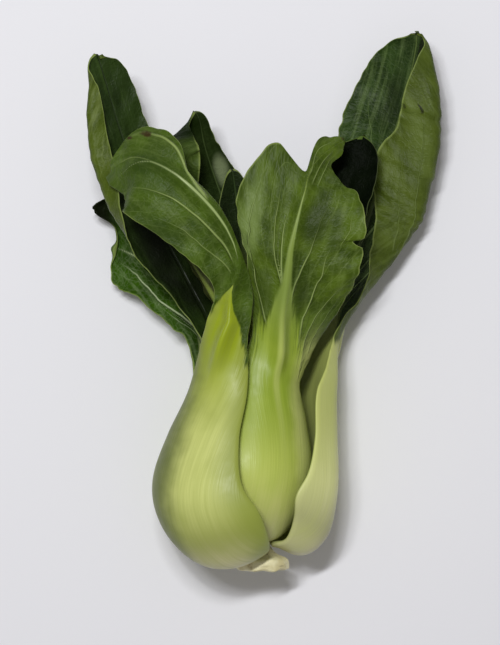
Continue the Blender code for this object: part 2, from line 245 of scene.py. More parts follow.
class MeshMaker:
    """Writes grids of points as closed Blender meshes."""

    @staticmethod
    def write(name: str, points: Array, corners: Array, layers: dict[str, Array]) -> bpy.types.Object:
        """Makes an object from points and four-cornered faces.

        Args:
            name: The piece's name.
            points: The vertices in millimetres.
            corners: Four vertex numbers for each face.
            layers: A number for each vertex, under the name that the finish reads it by.

        Returns:
            The new object, shaded smooth.
        """
        mesh = bpy.data.meshes.new(name)
        mesh.vertices.add(len(points))
        mesh.vertices.foreach_set("co", (points * MM).astype(np.float32).ravel())
        mesh.loops.add(corners.size)
        mesh.loops.foreach_set("vertex_index", corners.astype(np.int32).ravel())
        mesh.polygons.add(len(corners))
        mesh.polygons.foreach_set("loop_start", np.arange(len(corners), dtype=np.int32) * corners.shape[1])
        mesh.update(calc_edges=True)
        for layer, numbers in layers.items():
            made = mesh.attributes.new(layer, "FLOAT", "POINT")
            made.data.foreach_set("value", numbers.astype(np.float32).ravel())
        mesh.validate()
        mesh.shade_smooth()
        return add_object(name, mesh)

    @staticmethod
    def shell_corners(rows: int, cols: int) -> Array:
        """The faces of the closed shell between two grids of the same size.

        Args:
            rows: Rows of each grid.
            cols: Columns of each grid.

        Returns:
            Four vertex numbers for each face. The second grid's numbers follow the first's.
        """
        count = rows * cols
        number = np.arange(count).reshape(rows, cols)
        top = np.stack([number[:-1, :-1], number[:-1, 1:], number[1:, 1:], number[1:, :-1]], -1)
        top = top.reshape(-1, 4)
        under = top[:, ::-1] + count
        rim = np.concatenate([number[0, :], number[1:, -1], number[-1, -2::-1], number[-2:0:-1, 0]])
        after = np.roll(rim, -1)
        walls = np.stack([rim, rim + count, after + count, after], -1)
        return np.concatenate([top, under, walls])


class NodeBoard:
    """One material's shader nodes, each added by a short call."""

    def __init__(self, name: str) -> None:
        """Starts a material whose shader is an empty Principled one."""
        self.material = bpy.data.materials.new(name)
        self.material.use_nodes = True
        self.tree = self.material.node_tree
        self.shader = self.tree.nodes["Principled BSDF"].inputs

    def add(self, kind: str) -> bpy.types.Node:
        """A new shader node of a kind."""
        return self.tree.nodes.new(f"ShaderNode{kind}")

    def feed(self, socket: Socket, value: Any) -> None:
        """Links a socket, or sets a plain value on an input."""
        if isinstance(value, bpy.types.NodeSocket):
            self.tree.links.new(value, socket)
        else:
            socket.default_value = value

    def layer(self, name: str) -> Socket:
        """A number that the mesh carries at each vertex."""
        node = self.add("Attribute")
        node.attribute_name = name
        return node.outputs["Fac"]

    def own_place(self) -> Socket:
        """The object's own coordinates."""
        return self.add("TexCoord").outputs["Object"]

    def math(self, operation: str, first: Any, second: Any = 0.0) -> Socket:
        """One step of arithmetic.

        Args:
            operation: A Math node's operation.
            first: The first number.
            second: The second number, for an operation that takes two.

        Returns:
            The answer.
        """
        node = self.add("Math")
        node.operation = operation
        self.feed(node.inputs[0], first)
        self.feed(node.inputs[1], second)
        return node.outputs[0]

    def plus(self, first: Any, second: Any) -> Socket:
        """The sum of two numbers."""
        return self.math("ADD", first, second)

    def minus(self, first: Any, second: Any) -> Socket:
        """The first number less the second."""
        return self.math("SUBTRACT", first, second)

    def times(self, first: Any, second: Any) -> Socket:
        """The product of two numbers."""
        return self.math("MULTIPLY", first, second)

    def rise(self, value: Any, low: Any, high: Any, least: float = 0.0, most: float = 1.0) -> Socket:
        """A soft step that goes from least at low to most at high.

        Args:
            value: The number that is read.
            low: Where the step begins.
            high: Where it ends.
            least: The answer below low.
            most: The answer above high.

        Returns:
            The step's height.
        """
        node = self.add("MapRange")
        node.interpolation_type = "SMOOTHSTEP"
        for k, number in enumerate((value, low, high, least, most)):
            self.feed(node.inputs[k], number)
        return node.outputs[0]

    def place(self, x: Any, y: Any) -> Socket:
        """A place made of two numbers."""
        node = self.add("CombineXYZ")
        self.feed(node.inputs[0], x)
        self.feed(node.inputs[1], y)
        return node.outputs[0]

    def noise(self, where: Socket, scale: float, detail: float = 2.0, rough: float = 0.5) -> Socket:
        """Soft cloudy noise, about 0.5 on average.

        Args:
            where: The place that the noise is read at.
            scale: How many clouds to a unit.
            detail: How many finer layers it has.
            rough: How strong the finer layers are.

        Returns:
            The noise.
        """
        node = self.add("TexNoise")
        self.feed(node.inputs["Vector"], where)
        for key, number in (("Scale", scale), ("Detail", detail), ("Roughness", rough)):
            node.inputs[key].default_value = number
        return node.outputs["Fac"]

    def cells(self, where: Socket, scale: float) -> Socket:
        """The distance to the nearest wall of a net of uneven cells."""
        node = self.add("TexVoronoi")
        node.feature = "DISTANCE_TO_EDGE"
        self.feed(node.inputs["Vector"], where)
        node.inputs["Scale"].default_value = scale
        return node.outputs["Distance"]

    def blend(self, share: Any, under: Any, over: Any) -> Socket:
        """One colour laid over another.

        Args:
            share: How much of the upper colour shows, from 0 to 1.
            under: The lower colour, a Tint or a socket.
            over: The upper colour.

        Returns:
            The mixed colour.
        """
        node = self.add("Mix")
        node.data_type = "RGBA"
        self.feed(node.inputs[0], share)
        for socket, colour in ((node.inputs[6], under), (node.inputs[7], over)):
            self.feed(socket, colour.linear() if isinstance(colour, Tint) else colour)
        return node.outputs[2]

    def bump(self, height: Socket, depth: float) -> None:
        """Relief on the shader, depth metres high for a height of 1."""
        node = self.add("Bump")
        node.inputs["Strength"].default_value = 1.0
        node.inputs["Distance"].default_value = depth
        self.feed(node.inputs["Height"], height)
        self.feed(self.shader["Normal"], node.outputs["Normal"])


@dataclass(frozen=True)
class ColourPatch:
    """A small patch of colour: its place along and across a leaf, its two half lengths, and its colour. Most
    are stains; some are painted shade.

    strength is how well it shows at its middle and core where it begins to fade. ragged is how broken
    its outline is, and grain how fine the breaks are.
    """

    run: float
    across: float
    long: float
    wide: float
    tint: Tint = Tint(52, 34, 12)
    strength: float = 0.9
    core: float = 0.7
    ragged: float = 1.2
    grain: float = 1.3
    rim: float = 1.6


@dataclass(frozen=True)
class Cloud(ColourPatch):
    """A large soft patch of a lighter or a darker green."""

    strength: float = 0.7
    core: float = 0.15
    ragged: float = 0.6
    grain: float = 0.14


class LeafBoard(NodeBoard):
    """One leaf's shader nodes, with the numbers that its mesh carries.

    run is the distance along the leaf from its foot, across the distance from its centre line, and
    share how far out on its half a place is. inner is 0 on the outer face and 1 on the inner one.
    crooked is the place across and along, pushed about a little.
    """

    net_scale: float = 0.42
    crooked_scale: float = 0.5
    crooked_push: float = 2.4

    def __init__(self, name: str) -> None:
        """Starts the material and reads the numbers."""
        super().__init__(name)
        self.run, self.across = self.layer("run"), self.layer("across")
        self.share, self.inner = self.layer("share"), self.layer("inner")
        self.spread = self.place(self.across, self.run)
        push, scaled = self.add("TexNoise"), self.add("VectorMath")
        self.feed(push.inputs["Vector"], self.spread)
        push.inputs["Scale"].default_value = self.crooked_scale
        scaled.operation = "MULTIPLY_ADD"
        self.feed(scaled.inputs[0], push.outputs["Color"])
        scaled.inputs[1].default_value = (self.crooked_push, self.crooked_push, 0.0)
        self.feed(scaled.inputs[2], self.spread)
        self.crooked = scaled.outputs[0]

    def drawn_out(self, fine: float, long: float) -> Socket:
        """Noise that is drawn out along the leaf.

        Args:
            fine: How many streaks lie side by side to a millimetre.
            long: How many follow each other to a millimetre.

        Returns:
            The noise, about 0.5 on average.
        """
        where = self.place(self.times(self.across, fine), self.times(self.run, long))
        return self.noise(where, 1.0, 3.0, 0.6)

    def net(self, reach: float, most: float) -> Socket:
        """The net of the finest veins, from most on a line to 0 at a reach from it."""
        return self.rise(self.cells(self.crooked, self.net_scale), 0.0, reach, most, 0.0)

    def main_veins(self) -> Socket:
        """The main side veins as pale lines, up to 1 on a line and 0 off it."""
        off = self.math("ABSOLUTE", self.layer("vein_halves"))
        return self.times(self.rise(off, 0.3, 1.3, 1.0, 0.0), self.layer("vein_near"))

    def side_veins(self) -> Socket:
        """The fine side veins, thinner towards the margin.

        Returns:
            The strength of the line at each place, up to 1 on a line and 0 off it.
        """
        turn = self.math("FRACT", self.plus(self.layer("vein_place"), 0.5))
        off = self.math("ABSOLUTE", self.minus(turn, 0.5))
        width = self.rise(self.share, 0.0, 0.9, 0.42, 0.2)
        widths_off = self.math("DIVIDE", self.times(off, self.layer("vein_gap")), width)
        return self.times(self.rise(widths_off, 0.3, 1.1, 1.0, 0.0), self.layer("vein_strength"))

    def stain(self, spot: ColourPatch) -> Socket:
        """How strongly a patch of colour shows at each place, be it a stain, painted shade or a painted
        highlight.

        Args:
            spot: The stain.

        Returns:
            spot: The patch.
        """
        up = self.math("DIVIDE", self.minus(self.run, spot.run), spot.long)
        over = self.math("DIVIDE", self.minus(self.across, spot.across), spot.wide)
        far = self.plus(self.times(up, up), self.times(over, over))
        far = self.plus(far, self.times(self.noise(self.spread, spot.grain), spot.ragged))
        return self.rise(far, spot.core, spot.rim, spot.strength, 0.0)


@dataclass(frozen=True)
class LeafSkin:
    """The finish of a leaf, from its waxy stalk to its blade's two faces.

    The stalk's tints follow each other from its sole at the cut to its neck, and each run holds the
    distances between which one gives way to the next. The tint of the stalk's inner face is painted shade
    for where it lies in the crevice between stalks, and the edge shade is painted shade that darkens the
    stalk towards its two edges. strings and threads are broad and fine lines along the stalk, streaks
    those on the blade. stripe is how well the stalk's pale middle line shows. The share of an inner face,
    a net or a vein is how strongly its tint shows. shine is the strength of the reflection, wax that of
    the thin coat on the stalk, and relief the depth of the finest forms in metres.
    """

    name: str
    sole: Tint = Tint(206, 202, 160)
    sole_run: Pair = (11.0, 21.0)
    foot: Tint = Tint(190, 186, 128)
    foot_run: Pair = (14.0, 38.0)
    stalk: Tint = Tint(200, 208, 120)
    stalk_shade: Tint = Tint(160, 176, 76)
    neck: Tint = Tint(150, 168, 62)
    neck_run: Pair = (84.0, 112.0)
    neck_before: Pair = (60.0, 14.0)
    # Painted shade on the stalk's inner face, where it lies in the crevice between stalks.
    inner_face_shade: Tint = Tint(108, 124, 46)
    inner_face_shade_share: float = 0.5
    rib: Tint = Tint(206, 212, 132)
    rib_tip: Tint = Tint(120, 140, 66)
    outer_blade: Tint = Tint(72, 92, 38)
    outer_light: Tint = Tint(88, 110, 48)
    outer_vein: Tint = Tint(136, 154, 88)
    inner_blade: Tint = Tint(44, 62, 22)
    inner_light: Tint = Tint(56, 80, 28)
    inner_vein: Tint = Tint(150, 170, 108)
    margin: Tint = Tint(140, 156, 84)
    margin_share: float = 0.65
    side_share: float = 0.22
    net_share: float = 0.08
    strings: float = 0.2
    threads: float = 0.15
    streaks: float = 0.12
    cloudiness: float = 0.35
    stripe: float = 0.0
    stripe_width: float = 1.8
    stripe_run: Pair = (30.0, 70.0)
    # Painted shade that darkens the stalk towards its two edges.
    painted_edge_shade: float = 0.45
    stalk_gloss: float = 0.42
    blade_gloss: float = 0.46
    uneven_gloss: float = 0.2
    stalk_shine: float = 0.3
    blade_shine: float = 0.14
    wax: float = 0.02
    wax_gloss: float = 0.2
    relief: float = 0.0006
    # Stains, and patches of painted shade and painted highlight laid over the colour.
    stains_and_painted_light: tuple[ColourPatch, ...] = ()

    def material(self) -> bpy.types.Material:
        """The finish as a material.

        Returns:
            A material that reads the numbers which a leaf's mesh carries.
        """
        board = LeafBoard(self.name)
        frayed = board.times(board.minus(board.drawn_out(0.9, 0.06), 0.5), board.layer("fray"))
        blade = board.rise(board.plus(board.layer("past_rib"), frayed), -0.5, 0.5)
        main = board.main_veins()
        colour = board.blend(blade, self._stalk_colour(board), self._blade_colour(board, main))
        # Lays on the stains and the patches of painted shade and highlight.
        for spot in self.stains_and_painted_light:
            colour = board.blend(board.stain(spot), colour, spot.tint)
        board.feed(board.shader["Base Color"], colour)
        gloss = board.rise(blade, 0.0, 1.0, self.stalk_gloss, self.blade_gloss)
        uneven = board.minus(board.noise(board.spread, 0.35), 0.5)
        board.feed(board.shader["Roughness"], board.plus(gloss, board.times(uneven, self.uneven_gloss)))
        shine = board.rise(blade, 0.0, 1.0, self.stalk_shine, self.blade_shine)
        board.feed(board.shader["Specular IOR Level"], shine)
        board.feed(board.shader["Coat Weight"], board.rise(blade, 0.0, 1.0, self.wax, 0.0))
        board.feed(board.shader["Coat Roughness"], self.wax_gloss)
        board.bump(self._height(board, blade, main), self.relief)
        return board.material

    def _blade_colour(self, board: LeafBoard, main: Socket) -> Socket:
        """The blade's colour: mottled green with streaks, a net and veins, and a paler margin.

        Args:
            board: The material's nodes.
            main: 1 on a main vein and 0 off it.

        Returns:
            The colour.
        """
        streaked = board.rise(board.drawn_out(0.55, 0.035), 0.46, 0.68, 0.0, self.streaks)
        side = board.times(board.side_veins(), self.side_share)
        faces = []
        for body, light, vein in (
            (self.outer_blade, self.outer_light, self.outer_vein),
            (self.inner_blade, self.inner_light, self.inner_vein),
        ):
            mottle = board.rise(board.noise(board.spread, 0.08, 4.0, 0.56), 0.34, 0.66)
            colour = board.blend(mottle, body, light)
            for share in (board.net(0.12, self.net_share), streaked, side, main):
                colour = board.blend(share, colour, vein)
            faces.append(colour)
        edge = board.rise(board.layer("column"), 0.975, 0.997, 0.0, self.margin_share)
        return board.blend(edge, board.blend(board.inner, *faces), self.margin)

    def _stalk_colour(self, board: LeafBoard) -> Socket:
        """The stalk's colour: cream at the foot, yellow-green above, with fine strings along it.

        Args:
            board: The material's nodes.

        Returns:
            The colour.
        """
        neck_run = [self.neck_run[0] - before for before in self.neck_before]
        colour = board.blend(board.rise(board.run, *self.sole_run), self.sole, self.foot)
        colour = board.blend(board.rise(board.run, *self.foot_run), colour, self.stalk)
        colour = board.blend(board.rise(board.run, *neck_run), colour, self.neck)
        # Strings, threads and clouds vary the stalk's tone; the last step is painted shade towards its
        # edges.
        for share in (
            board.rise(board.drawn_out(0.4, 0.02), 0.4, 0.68, 0.0, self.strings),
            board.rise(board.drawn_out(1.5, 0.03), 0.42, 0.62, 0.0, self.threads),
            board.rise(board.noise(board.spread, 0.05), 0.45, 0.7, 0.0, self.cloudiness),
            board.rise(board.share, 0.45, 0.95, 0.0, self.painted_edge_shade),
        ):
            colour = board.blend(share, colour, self.stalk_shade)
        from_rib = board.math("ABSOLUTE", board.layer("from_rib"))
        stripe = board.rise(from_rib, 0.3 * self.stripe_width, self.stripe_width, self.stripe, 0.0)
        colour = board.blend(board.times(stripe, board.rise(board.run, *self.stripe_run)), colour, self.rib)
        # Painted shade on the stalk's inner face.
        colour = board.blend(board.times(board.inner, self.inner_face_shade_share), colour, self.inner_face_shade)
        return board.blend(board.rise(board.run, *self.neck_run), colour, self.rib_tip)

    def _height(self, board: LeafBoard, blade: Socket, main: Socket) -> Socket:
        """Fine relief: strings on the stalk, and a net with raised or sunk veins on the blade.

        Args:
            board: The material's nodes.
            blade: 0 on the stalk and 1 on the blade.
            main: 1 on a main vein and 0 off it.

        Returns:
            The relief's height, about 1 at most.
        """
        stalk = board.times(board.drawn_out(1.1, 0.04), 0.22)
        veins = board.times(main, board.rise(board.inner, 0.0, 1.0, 0.6, -0.4))
        pores = board.times(board.noise(board.spread, 1.6), 0.2)
        clouds = board.times(board.noise(board.spread, 0.22), 0.9)
        leafy = board.plus(board.plus(board.net(0.2, 0.1), veins), board.plus(pores, clouds))
        return board.plus(board.times(stalk, board.minus(1.0, blade)), board.times(leafy, blade))


@dataclass(frozen=True)
class Bend:
    """One station along a blade's midrib.

    at is the midrib's place. looks is the direction of the outer face, in degrees from +X towards +Z.
    plus and minus are the two halves: the width across, how far the half sweeps forward at its margin,
    and its turn from the midrib to the margin, in degrees towards the inner face.
    """

    at: Triple
    looks: float
    plus: Triple
    minus: Triple
    rib: float = 2.0


@dataclass(frozen=True)
class Veining:
    """The side veins of a blade.

    fan is how far along the leaf a vein runs between the midrib and the margin, and bend how soon it
    leaves the midrib's side: under 1 it first runs along it. spacing is the distance from vein to vein,
    offset how far the plus half's veins are shifted as a share of it, and wander how uneven they are.
    strength is how well they show.
    """

    fan: float = 62.0
    bend: float = 0.62
    spacing: float = 11.0
    offset: float = 0.45
    wander: float = 0.16
    strength: float = 1.0


@dataclass(frozen=True)
class Vein:
    """One main side vein.

    places holds the distance along the leaf and the share of the half's width, from the vein's foot to
    its end. width is half its breadth in millimetres, and strength how pale it is.
    """

    half: Half
    places: tuple[Pair, ...]
    width: float = 0.32
    strength: float = 0.8


@dataclass(frozen=True)
class Midrib:
    """Where a leaf's pale middle lies.

    Each row holds the distance along the leaf, how far the middle lies from the leaf's centre line
    towards its plus half, and how far the pale part reaches from there on the plus and minus sides.
    A reach under 0 leaves none of it. soft is the breadth of the pale part's rim as a share of its reach.
    """

    rows: tuple[tuple[float, float, float, float], ...]
    soft: float = 0.65

    def at(self, run: Array) -> tuple[Array, Array, Array]:
        """The middle's shift and its two reaches at distances along the leaf."""
        table = np.array(self.rows)
        return tuple(np.interp(run, table[:, 0], table[:, column]) for column in (1, 2, 3))


@dataclass(frozen=True)
class Nick:
    """A place where a margin falls short of its half's width, or stands out past it.

    depth is the share of the width that is missing, under 0 where the margin stands out. width is half
    the length of the place along the leaf.
    """

    half: Half
    run: float
    depth: float
    width: float


@dataclass
class HeadPiece:
    """A piece of the head, which takes the place of the solid of the same name."""

    name: str
    slot: str

    def build(self) -> bpy.types.Object:
        """The piece's fine closed mesh, which each kind of piece makes in its own way."""
        raise NotImplementedError

    def material(self) -> bpy.types.Material:
        """The piece's finish as a material, which each kind of piece has of its own."""
        raise NotImplementedError

    def dress(self, piece: bpy.types.Object) -> bpy.types.Object:
        """Gives the piece its finish and its place in the head.

        Args:
            piece: The piece's mesh object.

        Returns:
            The same object.
        """
        piece.data.materials.append(self.material())
        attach(piece, "root")
        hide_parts(self.name)
        return piece


@dataclass
class Leaf(HeadPiece):
    """A leaf: a stalk in a ring, and a blade on its own stations.

    centre and span are the stalk's direction round the head's axis and its half breadth, in degrees,
    size the stalk's share of its ring's radius, and rise and spread what is added to its height and its
    radius. wave, waves and phase are the height, the number and the start of the margins' waves. fold is
    the share of the plus and the minus half that a fold lies at. neck is where the blade begins.
    quilt, blister and crinkle are the heights of the swellings between the veins, of the large bumps
    and of the small ones at the margin, and each length is the usual distance from one to the next.
    quilted_gaps and veined_gaps are the distances between veins over which the swellings and the fine
    veins begin to show.
    """

    ring: RingName
    centre: tuple[float, ...]
    span: tuple[float, ...]
    blade: tuple[Bend, ...]
    skin: LeafSkin
    midrib: Midrib
    size: float = 1.0
    rise: tuple[float, ...] = NO_SHIFT
    spread: tuple[float, ...] = NO_SHIFT
    wave: float = 0.8
    waves: float = 7.0
    phase: float = 0.0
    fold: tuple[Optional[float], Optional[float]] = (None, None)
    veins: tuple[Vein, ...] = ()
    veining: Veining = Veining()
    nicks: tuple[Nick, ...] = ()
    neck: float = 90.0
    seed: int = 1
    row_step: float = 0.85
    half_columns: int = 46
    blade_thick: float = 0.55
    solid_blade_thick: float = 0.8
    neck_shares: Pair = (0.62, 0.3)
    rib_spread: float = 2.4
    fold_width: float = 0.32
    full_ripple_width: float = 12.0
    quilt: float = 0.28
    blister: float = 0.3
    crinkle: float = 0.35
    least_tip: float = 2.5
    tip_share: float = 0.04
    ragged: float = 0.012
    ragged_length: float = 5.0
    frayed_reach: Pair = (1.0, 5.0)
    blister_length: float = 13.0
    crinkle_length: float = 7.0
    quilted_gaps: Pair = (3.5, 7.5)
    veined_gaps: Pair = (2.5, 6.0)
    rim_softness: float = 3.5
    thinned_margin: float = 0.94
    vein_height: float = 0.34
    side_vein_height: float = 0.08
    vein_breadth: float = 0.75

    def stations(self) -> Array:
        """Every station of the leaf, stalk and blade, as one row of numbers each.

        Returns:
            Rows of the place, looks, plus, minus, the thickness at the middle and at the margin, the
            rib's height, and 1 on the blade or 0 on the stalk.
        """
        rows = []
        ring = RINGS[self.ring]
        for k, (radius, y) in enumerate(ring.path):
            radius = radius * self.size + self.spread[k]
            y += self.rise[k]
            axis_x, axis_z = AXIS.at(y)
            looks = math.radians(self.centre[k])
            at = (axis_x + radius * math.cos(looks), y, axis_z + AXIS.flatness * radius * math.sin(looks))
            half = (radius * math.radians(self.span[k]), ring.sweep[k], self.span[k])
            rows.append((*at, self.centre[k], *half, *half, ring.thick[k], STALK_EDGE[k], 0.0, 0.0))
        turn = 360.0 * round((self.centre[-1] - self.blade[0].looks) / 360.0)
        for k, bend in enumerate(self.blade):
            thick = self.blade_thick
            if k < len(self.neck_shares):
                thick = max(self.solid_blade_thick, ring.thick[-1] * self.neck_shares[k])
            facing = bend.looks + turn
            rows.append((*bend.at, facing, *bend.plus, *bend.minus, thick, self.blade_thick, bend.rib, 1.0))
        return np.array(rows)

    def _row_places(self, stations: Array) -> tuple[Array, Array]:
        """The rows of the fine mesh.

        Args:
            stations: The leaf's stations.

        Returns:
            The station number of each row, and its distance along the midrib from the foot.
        """
        fine = np.linspace(0, len(stations) - 1, FINE_PLACES)
        points = through(stations[:, PLACE], fine)
        run = np.concatenate([[0], np.cumsum(np.linalg.norm(np.diff(points, axis=0), axis=1))])
        count = int(run[-1] / self.row_step) + 1
        runs = np.linspace(0, run[-1], count)
        return np.interp(runs, run, fine), runs

    def _half_profile(
        self, width: Array, turn: Array, fold: Optional[float], shares: Array
    ) -> tuple[Array, Array]:
        """The cross-section of one half.

        Args:
            width: The half's width at each row.
            turn: Its turn towards the inner face at each row, in degrees.
            fold: The share of the width that a fold lies at, or None for an even curl.
            shares: The shares of the width to read it at, a row of them for each row.

        Returns:
            How far across and how far inwards the half is, for each row and share.
        """
        fine = np.linspace(0, WIDEST_SHARE, PROFILE_PLACES)
        share = fine
        if fold is not None:
            share = 0.15 * fine + 0.85 * soft_step((fine - fold) / self.fold_width + 0.5)
        angle = np.radians(turn)[:, None] * share[None, :]
        step = width[:, None] * fine[1]
        found = []
        for slices in (np.cos(angle) * step, np.sin(angle) * step):
            sums = np.cumsum((slices[:, 1:] + slices[:, :-1]) / 2, axis=1)
            sums = np.concatenate([np.zeros((len(sums), 1)), sums], axis=1)
            found.append(np.array([np.interp(where, fine, row) for where, row in zip(shares, sums)]))
        return found[0], found[1]

    def _width_shares(self, runs: Array, width: Array, half: Half) -> Array:
        """How much of its full width a half has at each row, with a rounded tip and a ragged margin.

        Args:
            runs: The distance along the midrib at each row.
            width: The half's full width there.
            half: Which half.

        Returns:
            A share for each row.
        """
        reach = max(self.least_tip, 1.1 * float(width[-1]))
        left = np.clip((runs[-1] - runs) / reach, 0.0, 1.0)
        shares = np.sqrt(1 - (1 - left) ** 2) * (1 - self.tip_share) + self.tip_share
        ragged = swell(runs, runs * 0 + 40 * half.value, self.ragged_length, self.seed + 11)
        ragged = 1 + self.ragged * ragged
        return shares * np.where(runs > self.neck - 20, ragged, 1.0)

    def _kept(self, runs: Array, half: Half) -> Array:
        """How much of a half is there at each row, less its nicks."""
        kept = np.ones(len(runs))
        for nick in self.nicks:
            if nick.half is half:
                kept = kept - nick.depth * np.exp(-(((runs - nick.run) / nick.width) ** 4))
        return kept

    def _shares(self) -> Array:
        """The columns of one half as shares of its width, closer at the midrib and at the margin."""
        even = np.linspace(0, 1, self.half_columns - 2)
        eased = 0.75 * even + 0.25 * soft_step(even)
        return np.concatenate([eased[:-1], [0.988, 0.996, 1.0]])

    def surface(self) -> dict[str, Array]:
        """The leaf's middle surface and what it is made of.

        Returns:
            Arrays of rows by columns. Columns run from the minus margin to the plus margin.
        """
        stations = self.stations()
        t, runs = self._row_places(stations)
        s = through(stations, t)
        place, on_blade = s[:, PLACE], np.clip(s[:, ON_BLADE], 0, 1)
        forward = np.clip((t - 5.0) / 2.5, 0, 1)[:, None]
        along = unit(forward * unit(np.gradient(place, axis=0)) + (1 - forward) * np.array([0.0, 1.0, 0.0]))
        looks = np.radians(s[:, LOOKS])
        out = np.stack([np.cos(looks), np.zeros(len(t)), np.sin(looks)], axis=1)
        out = unit(out - (out * along).sum(1)[:, None] * along)
        side = np.cross(out, along)
        shares = self._shares()
        sheets, widths, signed = [], [], []
        for half, columns, fold in ((Half.MINUS, MINUS, self.fold[1]), (Half.PLUS, PLUS, self.fold[0])):
            width, sweep, turn = s[:, columns].T
            width = np.maximum(width, 0.6) * self._width_shares(runs, width, half)
            reached = self._kept(runs, half)[:, None] * shares
            across, inward = self._half_profile(width, turn, fold, reached)
            sheet = (
                place[:, None]
                + half.value * across[:, :, None] * side[:, None]
                - inward[:, :, None] * out[:, None]
                + (sweep[:, None] * shares**2)[:, :, None] * along[:, None]
            )
            turns = self.waves * 2 * math.pi * np.linspace(0, 1, len(t))
            ripple = self.wave * np.sin(turns + self.phase * (1 + half.value))
            reach = np.clip(width / self.full_ripple_width, 0, 1) * on_blade
            sheet += ((ripple * reach)[:, None] * shares**2.5)[:, :, None] * out[:, None]
            sheets.append(sheet)
            widths.append(width)
            signed.append(reached)
        middle = np.concatenate([sheets[0][:, :0:-1], sheets[1]], axis=1)
        column = np.concatenate([-shares[:0:-1], shares])
        width = np.where(column[None, :] < 0, widths[0][:, None], widths[1][:, None])
        return {
            "middle": middle,
            "column": np.broadcast_to(np.abs(column), width.shape),
            "signed": np.concatenate([-signed[0][:, :0:-1], signed[1]], axis=1),
            "width": width,
            "run": np.broadcast_to(runs[:, None], width.shape),
            "on_blade": np.broadcast_to(on_blade[:, None], width.shape),
            "thick": s[:, THICK, None],
            "edge": s[:, EDGE, None],
            "rib": s[:, RIB, None],
        }

    def _veins(self, sheet: dict[str, Array]) -> tuple[Array, Array]:
        """Where the side veins run.

        Args:
            sheet: The leaf's middle surface.

        Returns:
            A number that passes a whole number at each vein, and the distance from vein to vein.
        """
        share = np.abs(sheet["signed"])
        lift = self.veining.fan * np.maximum(share, 0.004) ** self.veining.bend
        place = (sheet["run"] - lift) / self.veining.spacing
        place = place + np.where(sheet["signed"] > 0, self.veining.offset, 0.0)
        place = place + self.veining.wander * swell(share * 30, sheet["run"], 26.0, self.seed + 5)
        steps_along = np.linalg.norm(np.gradient(sheet["middle"], axis=0), axis=2)
        steps_across = np.linalg.norm(np.gradient(sheet["middle"], axis=1), axis=2)
        pace = np.hypot(
            np.gradient(place, axis=0) / np.maximum(steps_along, 0.05),
            np.gradient(place, axis=1) / np.maximum(steps_across, 0.05),
        )
        return place, 1 / np.maximum(pace, 0.02)

    def _past_rib(self, sheet: dict[str, Array]) -> tuple[Array, Array, Array, Array]:
        """How far a place lies from the midrib's middle, and past the pale part's rim.

        Args:
            sheet: The leaf's middle surface.

        Returns:
            The signed distance from the middle and the distance past the rim in millimetres, the
            latter in soft steps too, where under -0.5 is stalk or midrib and over 0.5 is blade, and
            how frayed the rim is.
        """
        lean, plus, minus = self.midrib.at(sheet["run"])
        from_middle = sheet["signed"] * sheet["width"] - lean
        reach = np.where(from_middle > 0, plus, minus)
        soft = 0.25 + self.midrib.soft * np.clip(reach, 0.0, 8.0)
        fray = between(reach, *self.frayed_reach)
        uneven = 0.2 * swell(from_middle, sheet["run"] * 0.3, 5.0, self.seed + 3) * fray
        beyond = np.abs(from_middle) - reach
        return from_middle, beyond, beyond / soft + uneven, 2.2 * fray

    def _near_veins(self, sheet: dict[str, Array]) -> tuple[Array, Array, Array]:
        """The nearest main side vein at each place.

        Args:
            sheet: The leaf's middle surface.

        Returns:
            The signed distance from its middle in millimetres and in its own half widths, and its
            strength, which is 0 far from every vein.
        """
        run, width, share = sheet["run"], sheet["width"], np.abs(sheet["signed"])
        distance = np.full(run.shape, 99.0)
        halves = np.full(run.shape, 99.0)
        strength = np.zeros(run.shape)
        for vein in self.veins:
            path = through(vein.places, np.linspace(0, len(vein.places) - 1, 80))
            first, last = path[0, 0], path[-1, 0]
            middle = np.interp(run, path[:, 0], path[:, 1])
            slant = np.gradient(middle[:, 0] * width[:, 0 if vein.half is Half.MINUS else -1], run[:, 0])
            gap = (share - middle) * width / np.sqrt(1 + slant**2)[:, None]
            wander = 0.12 * swell(run, run * 0 + vein.places[0][1] * 50, 9.0, self.seed + 21)
            gap = gap + wander
            ends = soft_step((run - first) / 3.0) * soft_step((last - run) / (0.45 * (last - first)))
            here = (np.sign(sheet["signed"]) == vein.half.value) & (ends > 0)
            here = here & (np.abs(gap) < np.abs(distance))
            thin = vein.width * (1.15 - 0.65 * (run - first) / (last - first))
            distance = np.where(here, gap, distance)
            halves = np.where(here, gap / np.maximum(thin, 0.1), halves)
            near = soft_step((2.6 - np.abs(gap)) / 1.2) * ends * vein.strength
            strength = np.where(here, near, strength)
        return distance, np.clip(halves, -20, 20), strength

